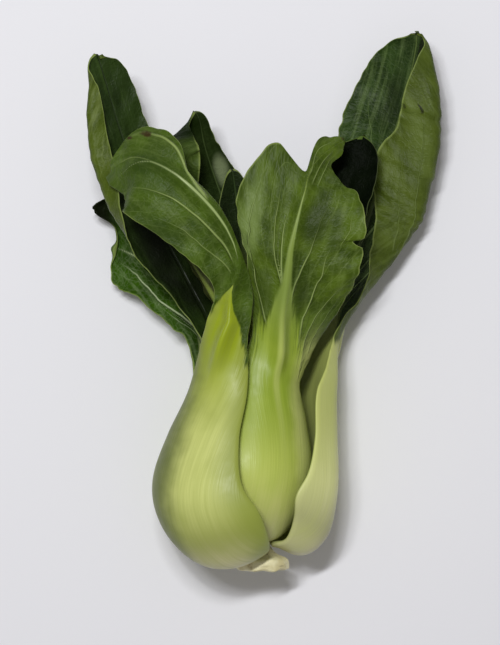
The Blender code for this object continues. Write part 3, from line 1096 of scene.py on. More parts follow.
    def build(self) -> bpy.types.Object:
        """The leaf's fine closed mesh.

        Returns:
            The leaf, with the numbers that its finish reads.
        """
        sheet = self.surface()
        signed, width, run, column = sheet["signed"], sheet["width"], sheet["run"], sheet["column"]
        share = np.abs(signed)
        middle = sheet["middle"]
        vein_place, vein_gap = self._veins(sheet)
        from_rib, beyond, past_rib, fray = self._past_rib(sheet)
        blade = soft_step(beyond / self.rim_softness)
        vein_distance, vein_halves, vein_near = self._near_veins(sheet)
        normal = unit(np.cross(np.gradient(middle, axis=0), np.gradient(middle, axis=1)))
        tip = np.clip((run - self.neck) / (run.max() - self.neck), 0, 1)
        roomy = between(vein_gap, *self.quilted_gaps) * blade
        quilted = self.quilt * (0.5 - 0.5 * np.cos(2 * math.pi * vein_place)) * roomy
        on_blade, across = sheet["on_blade"], signed * width
        bumps = self.blister * swell(across, run, self.blister_length, self.seed) * blade * on_blade
        margin = swell(across, run, self.crinkle_length, self.seed + 7) * column**5
        margin = self.crinkle * margin * on_blade
        middle = middle + ((quilted + bumps + margin) * on_blade)[:, :, None] * normal
        thick = sheet["edge"] + (sheet["thick"] - sheet["edge"]) * (1 - column**2)
        near_edge = np.clip(column - self.thinned_margin, 0, 1) / (1 - self.thinned_margin)
        thick = thick * np.sqrt(np.clip(1 - near_edge**2 * 0.9, 0.05, 1))
        ridge = sheet["rib"] * np.exp(-((from_rib / self.rib_spread) ** 2))
        strength = soft_step((1.06 - tip) / 0.5) * self.veining.strength
        strength = strength * between(vein_gap, *self.veined_gaps)
        distance = np.abs((vein_place + 0.5) % 1.0 - 0.5) * vein_gap
        raised = self.side_vein_height * np.exp(-((distance / self.vein_breadth) ** 2)) * blade * strength
        high = self.vein_height * np.exp(-((vein_distance / self.vein_breadth) ** 2)) * vein_near
        raised = raised + high
        front = middle + normal * (thick / 2 + ridge + raised)[:, :, None]
        back = middle - normal * (thick / 2 - 0.5 * raised)[:, :, None]
        rows, cols = share.shape
        points = np.concatenate([back.reshape(-1, 3), front.reshape(-1, 3)])
        points[:, 2] = np.maximum(points[:, 2], 0.0)
        both = {
            "run": run,
            "across": across,
            "from_rib": from_rib,
            "share": share,
            "column": column,
            "past_rib": np.clip(past_rib, -8, 8),
            "fray": fray,
            "vein_halves": vein_halves,
            "vein_near": vein_near,
            "vein_place": vein_place,
            "vein_gap": vein_gap,
            "vein_strength": strength,
        }
        layers = {key: np.concatenate([numbers.ravel()] * 2) for key, numbers in both.items()}
        layers["inner"] = np.repeat([Face.INNER.value, Face.OUTER.value], rows * cols)
        return MeshMaker.write(f"{self.name}_grown", points, MeshMaker.shell_corners(rows, cols), layers)

    def material(self) -> bpy.types.Material:
        """The leaf's skin as a material."""
        return self.skin.material()


@dataclass(frozen=True)
class CutFace:
    """The finish of the cut stem: dry cream with brown stains."""

    name: str = "cut_stem_cream"
    cream: Tint = Tint(238, 232, 190)
    shade: Tint = Tint(214, 204, 154)
    stain: Tint = Tint(132, 98, 52)
    speck: Tint = Tint(24, 18, 12)
    gloss: float = 0.6
    relief: float = 0.0005

    def material(self) -> bpy.types.Material:
        """The finish as a material.

        Returns:
            A material that reads the object's own coordinates.
        """
        board = NodeBoard(self.name)
        where = board.own_place()
        patches = board.rise(board.noise(where, 160.0, 3.0), 0.4, 0.7)
        colour = board.blend(patches, self.cream, self.shade)
        stains = board.rise(board.noise(where, 320.0, 4.0, 0.6), 0.6, 0.74, 0.0, 0.5)
        colour = board.blend(stains, colour, self.stain)
        specks = board.rise(board.noise(where, 900.0, 1.0), 0.72, 0.76, 0.0, 0.9)
        colour = board.blend(specks, colour, self.speck)
        board.feed(board.shader["Base Color"], colour)
        board.feed(board.shader["Roughness"], self.gloss)
        board.bump(board.noise(where, 500.0, 4.0, 0.6), self.relief)
        return board.material


@dataclass
class StemBase(HeadPiece):
    """The short stem that the stalks grow from, cut across at its foot.

    profile holds the share of the radius and the height along Y, from the cut end to the inner tip.
    """

    name: str = "stem_base"
    slot: str = "cut_stem"
    radius: float = 9.6
    profile: tuple[Pair, ...] = (
        (0.05, -29.3), (0.5, -29.2), (0.8, -29.1), (0.93, -28.8), (1.0, -28.0), (1.0, -25.0),
        (0.62, -22.8), (0.4, -18.0), (0.22, -13.0), (0.05, -8.0),
    )
    cut_below: float = -27.5
    sides: int = 96
    rings: int = 70
    finish: CutFace = CutFace()

    def build(self) -> bpy.types.Object:
        """The stem's fine closed mesh.

        Returns:
            The stem.
        """
        t = np.linspace(0, len(self.profile) - 1, self.rings)
        share, y = through(np.array(self.profile), t).T
        turns = np.linspace(0, 2 * math.pi, self.sides, endpoint=False)
        rings = []
        for k in range(self.rings):
            axis_x, axis_z = AXIS.at(float(y[k]))
            uneven = 1 + 0.05 * np.sin(3 * turns) + 0.02 * np.sin(7 * turns + 1.0)
            uneven = uneven + 0.012 * np.sin(13 * turns)
            radius = self.radius * max(float(share[k]), 0.03) * uneven
            x, z = radius * np.cos(turns), radius * np.sin(turns)
            dip = 0.25 * swell(x, z, 6.0, 9) * float(y[k] < self.cut_below)
            rings.append(np.stack([axis_x + x, float(y[k]) + dip, axis_z + z], 1))
        number = np.arange(self.rings * self.sides).reshape(self.rings, self.sides)
        after = np.roll(number, -1, axis=1)
        skin = np.stack([number[:-1], number[1:], after[1:], after[:-1]], -1).reshape(-1, 4)
        half = self.sides // 2
        lids = []
        for ring, flip in ((number[0], False), (number[-1], True)):
            for k in range(half - 1):
                lid = ring[[k, k + 1, self.sides - 2 - k, self.sides - 1 - k]]
                lids.append(lid[::-1] if flip else lid)
        corners = np.concatenate([skin, np.array(lids)])
        return MeshMaker.write(f"{self.name}_grown", np.concatenate(rings), corners, {})

    def material(self) -> bpy.types.Material:
        """The cut stem's finish as a material."""
        return self.finish.material()


@dataclass
class PaleTable:
    """The pale surface that the head lies on."""

    reach: float = 1.5
    light: Tint = Tint(238, 238, 242)
    shade: Tint = Tint(235, 235, 240)
    gloss: float = 0.7

    def build(self) -> bpy.types.Object:
        """The surface and its finish.

        Returns:
            The surface.
        """
        mesh = bpy.data.meshes.new("pale_table")
        corners = ((-1, -1), (1, -1), (1, 1), (-1, 1))
        mesh.from_pydata([(x * self.reach, y * self.reach, 0) for x, y in corners], [], [(0, 1, 2, 3)])
        table = add_object("pale_table", mesh)
        board = NodeBoard("pale_table_paper")
        patches = board.noise(board.own_place(), 3.0)
        board.feed(board.shader["Base Color"], board.blend(patches, self.light, self.shade))
        board.feed(board.shader["Roughness"], self.gloss)
        mesh.materials.append(board.material)
        return table


@dataclass(frozen=True)
class SoftLamp:
    """A soft lamp: where it hangs, what it looks at, its two sides and its power in watts."""

    name: str
    at: Triple
    towards: Triple
    sides: Pair
    power: float
    colour: Triple = (1.0, 1.0, 1.0)

    def hang(self) -> bpy.types.Object:
        """Puts the lamp in the scene.

        Returns:
            The lamp.
        """
        light = bpy.data.lights.new(self.name, "AREA")
        light.energy = self.power
        light.shape = "RECTANGLE"
        light.size, light.size_y = self.sides
        light.color = self.colour
        lamp = add_object(self.name, light)
        lamp.location = self.at
        sight = Vector(self.towards) - Vector(self.at)
        lamp.rotation_euler = sight.to_track_quat("-Z", "Y").to_euler()
        return lamp


@dataclass(frozen=True)
class Studio:
    """The room's soft light: two lamps in one place, one long and one small, and a faint sky."""

    lamps: tuple[SoftLamp, ...] = tuple(
        SoftLamp(name, (-0.12, 0.3, 1.0), (0.0, 0.06, 0.0), sides, power, (0.985, 0.99, 1.0))
        for name, sides, power in (("long_lamp", (0.3, 0.05), 6.2), ("small_lamp", (0.035, 0.035), 1.1))
    )
    sky: Triple = (1.0, 0.965, 0.95)
    sky_strength: float = 0.26

    def light(self) -> None:
        """Hangs the lamps and sets the sky."""
        for lamp in self.lamps:
            lamp.hang()
        world = bpy.data.worlds.new("soft_room")
        world.use_nodes = True
        ground = world.node_tree.nodes["Background"]
        ground.inputs["Color"].default_value = (*self.sky, 1.0)
        ground.inputs["Strength"].default_value = self.sky_strength
        bpy.context.scene.world = world


@dataclass(frozen=True)
class OverheadCamera:
    """The camera, which looks straight down at the head.

    picture is the photograph's size in pixels, and pixel the real size of one of them at level, the
    height of the head's widest part.
    """

    centre: Pair = (0.0, 0.062)
    height: float = 0.9
    level: float = 0.025
    picture: tuple[int, int] = (500, 645)
    pixel: float = 0.00037
    sensor: float = 36.0
    nearest: float = 0.01

    def place(self) -> bpy.types.Object:
        """Puts the camera in the scene.

        Returns:
            The camera.
        """
        data = bpy.data.cameras.new("overhead_camera")
        data.sensor_width = self.sensor
        data.lens = self.sensor * (self.height - self.level) / (max(self.picture) * self.pixel)
        data.clip_start = self.nearest
        camera = add_object("overhead_camera", data)
        camera.location = (*self.centre, self.height)
        bpy.context.scene.camera = camera
        return camera


FRONT_LEFT_SKIN = LeafSkin(
    "front_left_leaf_green",
    sole=Tint(214, 210, 158),
    sole_run=(13.0, 31.0),
    foot=Tint(132, 138, 66),
    foot_run=(18.0, 46.0),
    stalk=Tint(202, 209, 124),
    stalk_shade=Tint(142, 154, 62),
    neck=Tint(146, 162, 22),
    painted_edge_shade=0.9,
    neck_run=(118.0, 136.0),
    rib_tip=Tint(146, 164, 100),
    outer_blade=Tint(52, 72, 12),
    outer_light=Tint(70, 93, 20),
    stains_and_painted_light=(
        Cloud(50.0, 11.5, 54.0, 13.0, Tint(90, 102, 24), 0.95),
        Cloud(178.0, 2.0, 13.0, 9.0, Tint(46, 66, 20), 0.5),
        Cloud(160.0, 16.0, 12.0, 5.0, Tint(46, 66, 20), 0.5),
        ColourPatch(185.0, -10.8, 1.9, 1.5),
        ColourPatch(189.0, -8.6, 1.0, 0.8),
    ),
)
FRONT_LEFT_LEAF = Leaf(
    name="leaf_front_left",
    slot="outer_leaf",
    ring=RingName.OUTER,
    centre=(133, 133, 134, 135, 135, 131, 126),
    span=(54, 53, 51, 50, 43, 36, 31),
    blade=(
        Bend((-9, 55, 47.5), 108, (9.5, 0, 20), (8.5, 0, 18), 4.0),
        Bend((-4.5, 70, 50), 98, (8.5, -2, -20), (5.5, 0, 10), 3.2),
        Bend((-5.5, 83, 54), 95, (10, -4, -12), (3.5, 2, 10), 2.6),
        Bend((-13, 97, 58), 93, (15, -3, 5), (4, 3, 12), 2.3),
        Bend((-23, 108, 60), 92, (18.5, 0, 15), (5.5, 2, 14), 2.0),
        Bend((-33, 116, 58.5), 92, (19.5, 3, 20), (11.5, 1, 18), 1.6),
        Bend((-41, 119.5, 54.5), 98, (17, 4, 22), (11.5, 0, 24), 1.2),
        Bend((-46.5, 119, 50), 108, (12, 6, 22), (5.5, 0, 24), 1.0),
        Bend((-50, 116.5, 46), 118, (4.5, 4, 20), (2, 0, 20), 0.8),
    ),
    size=1.05,
    wave=0.7,
    waves=6.0,
    skin=FRONT_LEFT_SKIN,
    midrib=Midrib(
        (
            (50, 0, 40, 40), (84, 0, 17, 17), (96, 0, 12, 9), (104, 0, 11, 6.2), (110, 0, 9.5, 3.0),
            (114, 1.5, 7.0, 1.5), (118, 2.5, 4.5, 0.8), (122, 2.5, 2.0, 0.3), (125, 1.5, 0.2, 0.0),
            (129, -0.6, -0.2, -0.2), (134, -1.8, 0.1, 0.1), (138, -2.5, 0.25, 0.25), (144, -2.9, 0.35, 0.35),
            (154, -2.7, 0.42, 0.42), (163, -2.7, 0.42, 0.42), (169, -2.7, 0.38, 0.38),
            (174, -2.3, 0.34, 0.34), (179, -1.7, 0.3, 0.3), (183, -0.2, 0.26, 0.26), (188, 2.6, 0.2, 0.2),
            (196, 4.6, 0.05, 0.05),
        ),
        0.3,
    ),
    veins=(
        Vein(
            Half.PLUS,
            ((132, 0.0), (141, 0.07), (150, 0.15), (162, 0.22), (169, 0.29), (176, 0.4), (188, 0.62)),
            0.5, 0.9,
        ),
        Vein(
            Half.PLUS,
            ((128, 0.2), (136, 0.4), (142, 0.53), (151, 0.57), (158, 0.62), (168, 0.76)), 0.3, 0.5,
        ),
        Vein(Half.MINUS, ((178, 0.16), (184, 0.14), (189, 0.1), (196, 0.02)), 0.3, 0.5),
        Vein(Half.MINUS, ((154, 0.9), (162, 0.93), (170, 0.95), (180, 0.95), (192, 0.95)), 0.85, 1.0),
    ),
    nicks=(Nick(Half.MINUS, 148.0, -0.36, 12.0), Nick(Half.MINUS, 180.0, -0.2, 12.0)),
    neck=112.0,
    seed=3,
)
RIGHT_SKIN = LeafSkin(
    "right_leaf_green",
    # A lighter painted shade on the stalk's inner face.
    inner_face_shade=Tint(150, 164, 84),
    foot=Tint(166, 163, 132),
    stalk=Tint(228, 230, 166),
    stalk_shade=Tint(196, 203, 120),
    neck=Tint(182, 190, 104),
    outer_blade=Tint(64, 78, 20),
    outer_light=Tint(82, 97, 31),
    outer_vein=Tint(108, 124, 64),
    rib_tip=Tint(84, 102, 46),
    inner_blade=Tint(32, 49, 15),
    inner_light=Tint(46, 68, 23),
    inner_vein=Tint(120, 142, 84),
    side_share=0.12,
    streaks=0.28,
    stains_and_painted_light=(
        ColourPatch(188.0, 27.2, 2.1, 0.9, Tint(30, 32, 14)),
        ColourPatch(187.0, 34.0, 1.2, 0.8, Tint(44, 50, 22), 0.7),
        # Painted shade in the dark curl at the leaf's tip.
        ColourPatch(207.0, 2.5, 8.0, 1.8, Tint(20, 24, 8)),
        Cloud(196.0, 8.0, 14.0, 5.0, Tint(50, 64, 24), 0.7),
        Cloud(188.0, -4.0, 14.0, 5.0, Tint(24, 36, 12), 0.7),
        Cloud(172.0, 30.0, 16.0, 6.0, Tint(96, 112, 52), 0.4),
    ),
)
RIGHT_LEAF = Leaf(
    name="leaf_right",
    slot="outer_leaf",
    ring=RingName.OUTER,
    centre=(-12, -12, -11, -9, -8, -12, -17),
    span=(52, 53, 53, 53, 50, 47, 50),
    blade=(
        Bend((29, 54, 19), -30, (12, 0, 44), (14, 0, 44), 4.0),
        Bend((34, 68, 13), -46, (17, 2, 50), (15, 0, 34), 3.2),
        Bend((39.5, 84, 7), -58, (32, 3, 120), (17, 0, 25), 2.6),
        Bend((45, 102, 3.4), -64, (45, 4, 166), (19, 0, 25), 2.3),
        Bend((50.5, 120, 6), -66, (44, 4, 174), (20, 0, 25), 2.0),
        Bend((56, 138, 11), -64, (39, 2, 170), (21, 0, 25), 1.6),
        Bend((60, 154, 16), -60, (27, 0, 156), (17.5, 0, 20), 1.2),
        Bend((62, 165, 20), -58, (12, 0, 110), (10, 0, 20), 0.9),
        Bend((62, 170, 22), -58, (4, -1, 30), (4.5, -1, 20), 0.8),
    ),
    size=0.94,
    rise=(0.4, 3.2, 6.2, 6.0, 3.5, 0.0, 0.0),
    spread=(0.0, 0.0, -0.8, -0.5, 1.2, 3.6, 5.0),
    wave=0.7,
    waves=6.0,
    phase=1.2,
    fold=(0.55, None),
    skin=RIGHT_SKIN,
    midrib=Midrib(
        (
            (50, 0, 40, 40), (80, 0, 26, 26), (90, 0, 6, 9), (100, 0, 2.2, 3), (120, -0.5, 1.0, 1.0),
            (140, 0, 0.9, 0.9), (170, 0, 0.6, 0.6), (200, 0, 0.3, 0.3),
        )
    ),
    veins=(
        Vein(
            Half.PLUS,
            ((93, 0.05), (100, 0.06), (106, 0.18), (112, 0.3), (120, 0.46), (128, 0.56)), 0.32, 0.6,
        ),
        Vein(Half.PLUS, ((104, 0.04), (113, 0.17), (120, 0.28), (130, 0.43), (142, 0.58)), 0.42, 1.0),
        Vein(Half.PLUS, ((116, 0.03), (127, 0.21), (138, 0.38), (150, 0.5)), 0.45, 0.9),
        Vein(Half.PLUS, ((131, 0.01), (138, 0.08), (148, 0.22), (160, 0.4)), 0.5, 1.0),
        Vein(Half.PLUS, ((118, 0.52), (135, 0.61), (160, 0.68), (185, 0.74), (205, 0.8)), 0.3, 0.7),
        Vein(Half.PLUS, ((124, 0.66), (145, 0.78), (165, 0.86), (185, 0.92)), 0.26, 0.5),
        Vein(Half.PLUS, ((150, 0.03), (162, 0.2), (175, 0.36), (190, 0.5)), 0.32, 0.5),
        Vein(Half.MINUS, ((150, 0.03), (162, 0.25), (175, 0.5), (190, 0.8)), 0.3, 0.4),
    ),
    veining=Veining(fan=55.0, bend=0.9, spacing=9.0, wander=0.3, strength=0.5),
    nicks=(
        Nick(Half.PLUS, 122.0, 0.075, 17.0),
        Nick(Half.PLUS, 161.0, -0.1, 12.0),
        Nick(Half.PLUS, 8.0, -0.26, 24.0),
    ),
    blister=0.18,
    quilt=0.12,
    neck=96.0,
    seed=8,
)
BACK_LEFT_SKIN = LeafSkin(
    "back_left_leaf_green",
    inner_blade=Tint(42, 70, 7),
    inner_light=Tint(58, 93, 12),
    inner_vein=Tint(186, 202, 156),
    rib_tip=Tint(168, 186, 134),
    side_share=0.14,
    blade_shine=0.08,
    stains_and_painted_light=(
        # Painted shade on the dark curled tip.
        Cloud(167.0, 0.0, 9.0, 14.0, Tint(14, 18, 6), 1.0),
        # Painted shadow cast by the front left blade.
        Cloud(140.0, 6.0, 16.0, 6.0, Tint(22, 36, 8), 0.9),
    ),
)
BACK_LEFT_LEAF = Leaf(
    name="leaf_back_left",
    slot="outer_leaf",
    ring=RingName.OUTER,
    centre=(243, 244, 244, 243, 239, 232, 226),
    span=(38, 37, 38, 39, 38, 32, 28),
    blade=(
        Bend((-17.5, 55, 13), 232, (9.5, 0, 25), (9, 0, 25), 4.0),
        Bend((-23, 67, 9), 242, (10, 1, 15), (12, -3, 18), 3.0),
        Bend((-29, 78, 5), 250, (13, 2, 10), (17, -3, 22), 2.6),
        Bend((-35.5, 88, 2.9), 256, (15, 3, 8), (20.5, -3, 24), 2.2),
        Bend((-43.5, 97, 4), 258, (14, 3, 8), (19.5, -4, 24), 1.8),
        Bend((-50.5, 102.5, 7), 254, (8, 2, 30), (5.5, -2, 40), 1.2),
        Bend((-59, 105, 12), 248, (3, 0, 60), (3.5, -1, 60), 0.8),
    ),
    size=0.985,
    wave=0.7,
    waves=5.0,
    phase=0.5,
    skin=BACK_LEFT_SKIN,
    midrib=Midrib(
        (
            (50, 0, 40, 40), (84, 0, 12, 12), (98, 0, 4, 4), (106, 0, 1.6, 1.6), (111, -0.6, 1.0, 1.0),
            (119, -2.4, 0.8, 0.8), (127, -3.6, 0.7, 0.7), (137, -4.6, 0.55, 0.55), (145, -7.6, 0.4, 0.4),
            (152, -10.0, 0.25, 0.25), (160, -14.0, 0.1, 0.1),
        ),
        0.4,
    ),
    veins=(
        Vein(
            Half.MINUS,
            ((103, 0.2), (112, 0.46), (119, 0.62), (126, 0.59), (136, 0.57), (148, 0.62)), 0.5, 1.0,
        ),
        Vein(
            Half.PLUS,
            ((107, 0.12), (111, 0.16), (116, 0.23), (121, 0.31), (127, 0.31), (138, 0.2)), 0.55, 1.0,
        ),
        Vein(Half.MINUS, ((100, 0.3), (106, 0.55), (113, 0.72), (120, 0.8)), 0.25, 0.4),
    ),
    neck=106.0,
    seed=12,
)
FRONT_SKIN = LeafSkin(
    "front_leaf_green",
    sole=Tint(192, 194, 128),
    foot=Tint(196, 200, 120),
    stalk=Tint(200, 210, 106),
    stalk_shade=Tint(166, 184, 72),
    neck=Tint(136, 158, 44),
    painted_edge_shade=0.2,
    stripe=0.34,
    stripe_width=1.6,
    stripe_run=(30.0, 72.0),
    neck_run=(76.0, 100.0),
    rib_tip=Tint(126, 146, 64),
    outer_blade=Tint(50, 68, 9),
    outer_light=Tint(80, 101, 22),
    stains_and_painted_light=(
        Cloud(48.0, -12.0, 36.0, 8.0, Tint(218, 224, 142), 0.85),
        # Painted sheen: a soft highlight on the blade's left part.
        Cloud(112.0, 16.5, 17.0, 4.5, Tint(122, 142, 78), 0.75),
        Cloud(84.0, -13.0, 9.0, 6.0, Tint(104, 124, 58), 0.35),
        Cloud(126.0, -6.5, 13.0, 5.0, Tint(46, 60, 18), 0.75),
        Cloud(97.0, -5.5, 9.0, 3.0, Tint(44, 58, 16), 0.6),
        Cloud(122.0, -14.0, 9.0, 3.0, Tint(48, 64, 20), 0.6),
        Cloud(96.0, 7.0, 10.0, 3.0, Tint(46, 62, 18), 0.5),
        ColourPatch(162.0, 1.0, 1.6, 1.2, Tint(60, 52, 22)),
    ),
)
FRONT_LEAF = Leaf(
    name="leaf_front",
    slot="inner_leaf",
    ring=RingName.INNER,
    centre=(72, 68, 63, 60, 58, 59, 66),
    span=(54, 56, 58, 57, 56, 52, 46),
    blade=(
        Bend((10.5, 52, 42), 76, (10.5, 8, 30), (15, 2, 24), 3.6),
        Bend((12, 66, 46), 82, (14, 13, 16), (22, 5, 6), 3.0),
        Bend((13.7, 79, 50), 86, (19.5, 15, 8), (25, 4, 0), 2.6),
        Bend((15.4, 90, 52), 88, (23, 15, 4), (25, 3, -4), 2.3),
        Bend((17.6, 100, 53), 90, (20, 16, 0), (23.5, 4, -4), 2.0),
        Bend((19.6, 108, 53), 90, (13.5, 15.5, 2), (20, 3, 0), 1.7),
        Bend((21.5, 114.5, 52), 88, (2.0, 0.5, 6), (14, 2, 6), 1.4),
        Bend((25.5, 121, 50), 84, (5.2, 5.5, 14), (6.5, -1, 14), 1.1),
        Bend((31, 125.8, 46), 80, (3.6, 1, 20), (3.5, 0, 20), 0.9),
        Bend((33.6, 127.6, 44), 80, (1.2, 0, 20), (1.3, 0, 20), 0.8),
    ),
    rise=(0.5, 2.5, 5.0, 4.5, 2.5, 0.0, 0.0),
    spread=(0.0, 0.0, -0.3, 0.4, 2.0, 3.0, 2.6),
    wave=0.9,
    waves=8.0,
    phase=2.0,
    skin=FRONT_SKIN,
    midrib=Midrib(
        (
            (40, 0, 40, 40), (56, 0, 17, 17), (64, 0, 12.5, 12.5), (72, 0, 9.4, 9.6), (81, 0.3, 6.6, 6.8),
            (89, 0.6, 4.4, 4.4), (95, 0.5, 3.0, 3.0), (102, 0.3, 1.7, 1.7), (108, 0.4, 1.25, 1.25),
            (114, 0.6, 0.9, 0.9), (124, 0.4, 0.5, 0.5), (136, 0.2, 0.22, 0.22), (144, 0.8, 0.05, 0.05),
            (162, 0, 0.0, 0.0),
        )
    ),
    veins=(
        Vein(
            Half.PLUS,
            ((82, 0.4), (90, 0.66), (96, 0.77), (105, 0.79), (116, 0.74), (125, 0.8), (131, 0.92)),
            0.42, 0.95,
        ),
        Vein(
            Half.PLUS,
            ((100, 0.08), (109, 0.26), (116, 0.31), (123, 0.37), (130.5, 0.5), (135, 0.66)), 0.34, 0.8,
        ),
        Vein(Half.PLUS, ((101, 0.1), (110, 0.16), (118, 0.185), (128, 0.22)), 0.42, 1.0),
        Vein(
            Half.MINUS,
            (
                (88, 0.12), (94, 0.1), (99, 0.105), (106, 0.16),
                (114, 0.26), (119, 0.29), (127, 0.35), (136, 0.54),
            ),
            0.42, 0.85,
        ),
        Vein(
            Half.MINUS,
            ((76, 0.42), (86, 0.35), (92, 0.38), (99, 0.42), (107, 0.49), (114, 0.51), (120, 0.62)),
            0.42, 1.0,
        ),
        Vein(Half.MINUS, ((75, 0.58), (84, 0.53), (89, 0.58), (94, 0.69), (102, 0.82)), 0.34, 0.8),
        Vein(Half.MINUS, ((74, 0.78), (82, 0.72), (88, 0.78), (96, 0.9)), 0.26, 0.5),
        Vein(Half.MINUS, ((116, 0.66), (123, 0.76), (130, 0.82)), 0.28, 0.6),
        Vein(Half.MINUS, ((138, 0.1), (144, 0.14), (150, 0.2), (157, 0.2)), 0.28, 0.6),
        Vein(Half.MINUS, ((138, 0.22), (144, 0.34), (150, 0.5), (157, 0.6)), 0.28, 0.5),
        Vein(Half.PLUS, ((140, 0.2), (144, 0.3), (150, 0.5), (158, 0.5)), 0.26, 0.5),
    ),
    nicks=(Nick(Half.MINUS, 118.5, 0.16, 1.4),),
    neck=80.0,
    seed=5,
)
BACK_SKIN = LeafSkin(
    "back_leaf_green",
    inner_blade=Tint(26, 38, 12),
    inner_light=Tint(36, 50, 18),
    outer_blade=Tint(53, 71, 22),
    outer_light=Tint(65, 84, 29),
    inner_vein=Tint(70, 88, 44),
    rib_tip=Tint(62, 78, 38),
    side_share=0.12,
    stains_and_painted_light=(
        # Painted shade on the upper part of the flap.
        Cloud(168.0, -12.0, 8.0, 15.0, Tint(18, 31, 5), 1.0),
        Cloud(147.0, -32.0, 6.0, 8.0, Tint(40, 54, 20), 0.7),
        # A paler grey-green patch on the flank, partly painted highlight.
        Cloud(146.0, 3.4, 8.0, 3.2, Tint(128, 140, 102), 0.85),
    ),
    blade_shine=0.06,
)
BACK_LEAF = Leaf(
    name="leaf_back",
    slot="inner_leaf",
    ring=RingName.INNER,
    centre=(288, 288, 288, 288, 288, 286, 282),
    span=(52, 54, 56, 56, 50, 44, 38),
    blade=(
        Bend((5, 56, 11), 278, (12, 0, 20), (12, 0, 20), 3.6),
        Bend((1, 72, 8), 275, (15, 1, 14), (15, 0, 14), 3.0),
        Bend((-4, 88, 7), 272, (14, 1, 12), (12, 0, 12), 2.6),
        Bend((-8.5, 103, 12), 268, (11, 2, 14), (12, 0, 20), 2.2),
        Bend((-13.5, 117, 17), 262, (7.5, 2, 20), (24, 0, 110), 1.8),
        Bend((-17, 128, 23), 258, (4.5, 1, 30), (45, 4, 170), 1.4),
        Bend((-18.5, 136, 28), 258, (3, 0, 30), (18, 0, 130), 1.0),
        Bend((-20, 139.5, 30), 258, (1.5, 0, 20), (3, 0, 30), 0.8),
    ),
    rise=(0.5, 3.0, 5.0, 4.0, 2.0, 0.0, 0.0),
    wave=1.0,
    waves=7.0,
    phase=0.9,
    fold=(None, 0.55),
    skin=BACK_SKIN,
    midrib=Midrib(
        (
            (50, 0, 30, 30), (70, 0, 10, 10), (82, 0, 3, 3), (100, 0, 0.8, 0.8), (130, 0, 0.4, 0.4),
            (170, 0, 0.2, 0.2),
        )
    ),
    veins=(
        Vein(Half.PLUS, ((112, 0.05), (126, 0.25), (140, 0.5), (152, 0.7)), 0.3, 0.6),
        Vein(Half.MINUS, ((150, 0.62), (160, 0.66), (168, 0.6)), 0.3, 0.5),
    ),
    neck=84.0,
    seed=15,
)
LEFT_SKIN = LeafSkin(
    "left_leaf_green",
    inner_blade=Tint(28, 43, 12),
    inner_light=Tint(40, 58, 18),
    outer_blade=Tint(62, 77, 16),
    outer_light=Tint(77, 93, 22),
    outer_vein=Tint(116, 130, 70),
    inner_vein=Tint(58, 78, 32),
    # The dark neck and midrib tip are painted shade: this part lies in the shadow of the front left blade.
    neck=Tint(84, 104, 36),
    rib_tip=Tint(40, 56, 22),
    neck_run=(70.0, 92.0),
    side_share=0.3,
    streaks=0.45,
    stains_and_painted_light=(
        # Both near-black clouds are painted shadow under the front left blade.
        Cloud(122.0, -6.0, 26.0, 9.0, Tint(12, 18, 5), 1.0),
        Cloud(104.0, 2.0, 12.0, 9.0, Tint(14, 20, 6), 0.9),
    ),
)
LEFT_LEAF = Leaf(
    name="leaf_left",
    slot="inner_leaf",
    ring=RingName.INNER,
    centre=(178, 178, 178, 178, 181, 185, 190),
    span=(43, 43, 43, 43, 40, 34, 28),
    blade=(
        Bend((-15, 58, 25), 212, (9, 0, 28), (9, 0, 28), 3.4),
        Bend((-23, 76, 24), 226, (11, 1, 22), (12, 0, 22), 2.8),
        Bend((-32, 94, 24), 236, (13, 2, 16), (19, 0, 50), 2.4),
        Bend((-41, 112, 25), 240, (12.5, 2, 14), (25, 0, 120), 2.0),
        Bend((-47, 130, 28), 242, (11, 2, 14), (25, 0, 165), 1.7),
        Bend((-52, 147, 32), 242, (9.8, 2, 14), (16, 0, 160), 1.3),
        Bend((-54.5, 155.5, 34.5), 242, (7.3, 0, 14), (8, 0, 80), 1.0),
        Bend((-56, 160, 36), 242, (5, -2, 14), (4, 0, 20), 0.8),
    ),
    rise=(0.5, 2.0, 2.0, 1.0, 0.0, 0.0, 0.0),
    wave=0.4,
    waves=5.0,
    phase=2.6,
    fold=(None, 0.68),
    skin=LEFT_SKIN,
    midrib=Midrib(
        (
            (55, 0, 20, 20), (68, 0, 9, 9), (78, 0, 3, 3), (90, 0, 1.0, 1.0), (120, 0, 0.5, 0.5),
            (150, 0, 0.4, 0.4), (198, 0, 0.2, 0.2),
        )
    ),
    veining=Veining(fan=40.0, bend=0.9, spacing=7.0),
    neck=94.0,
    seed=18,
)
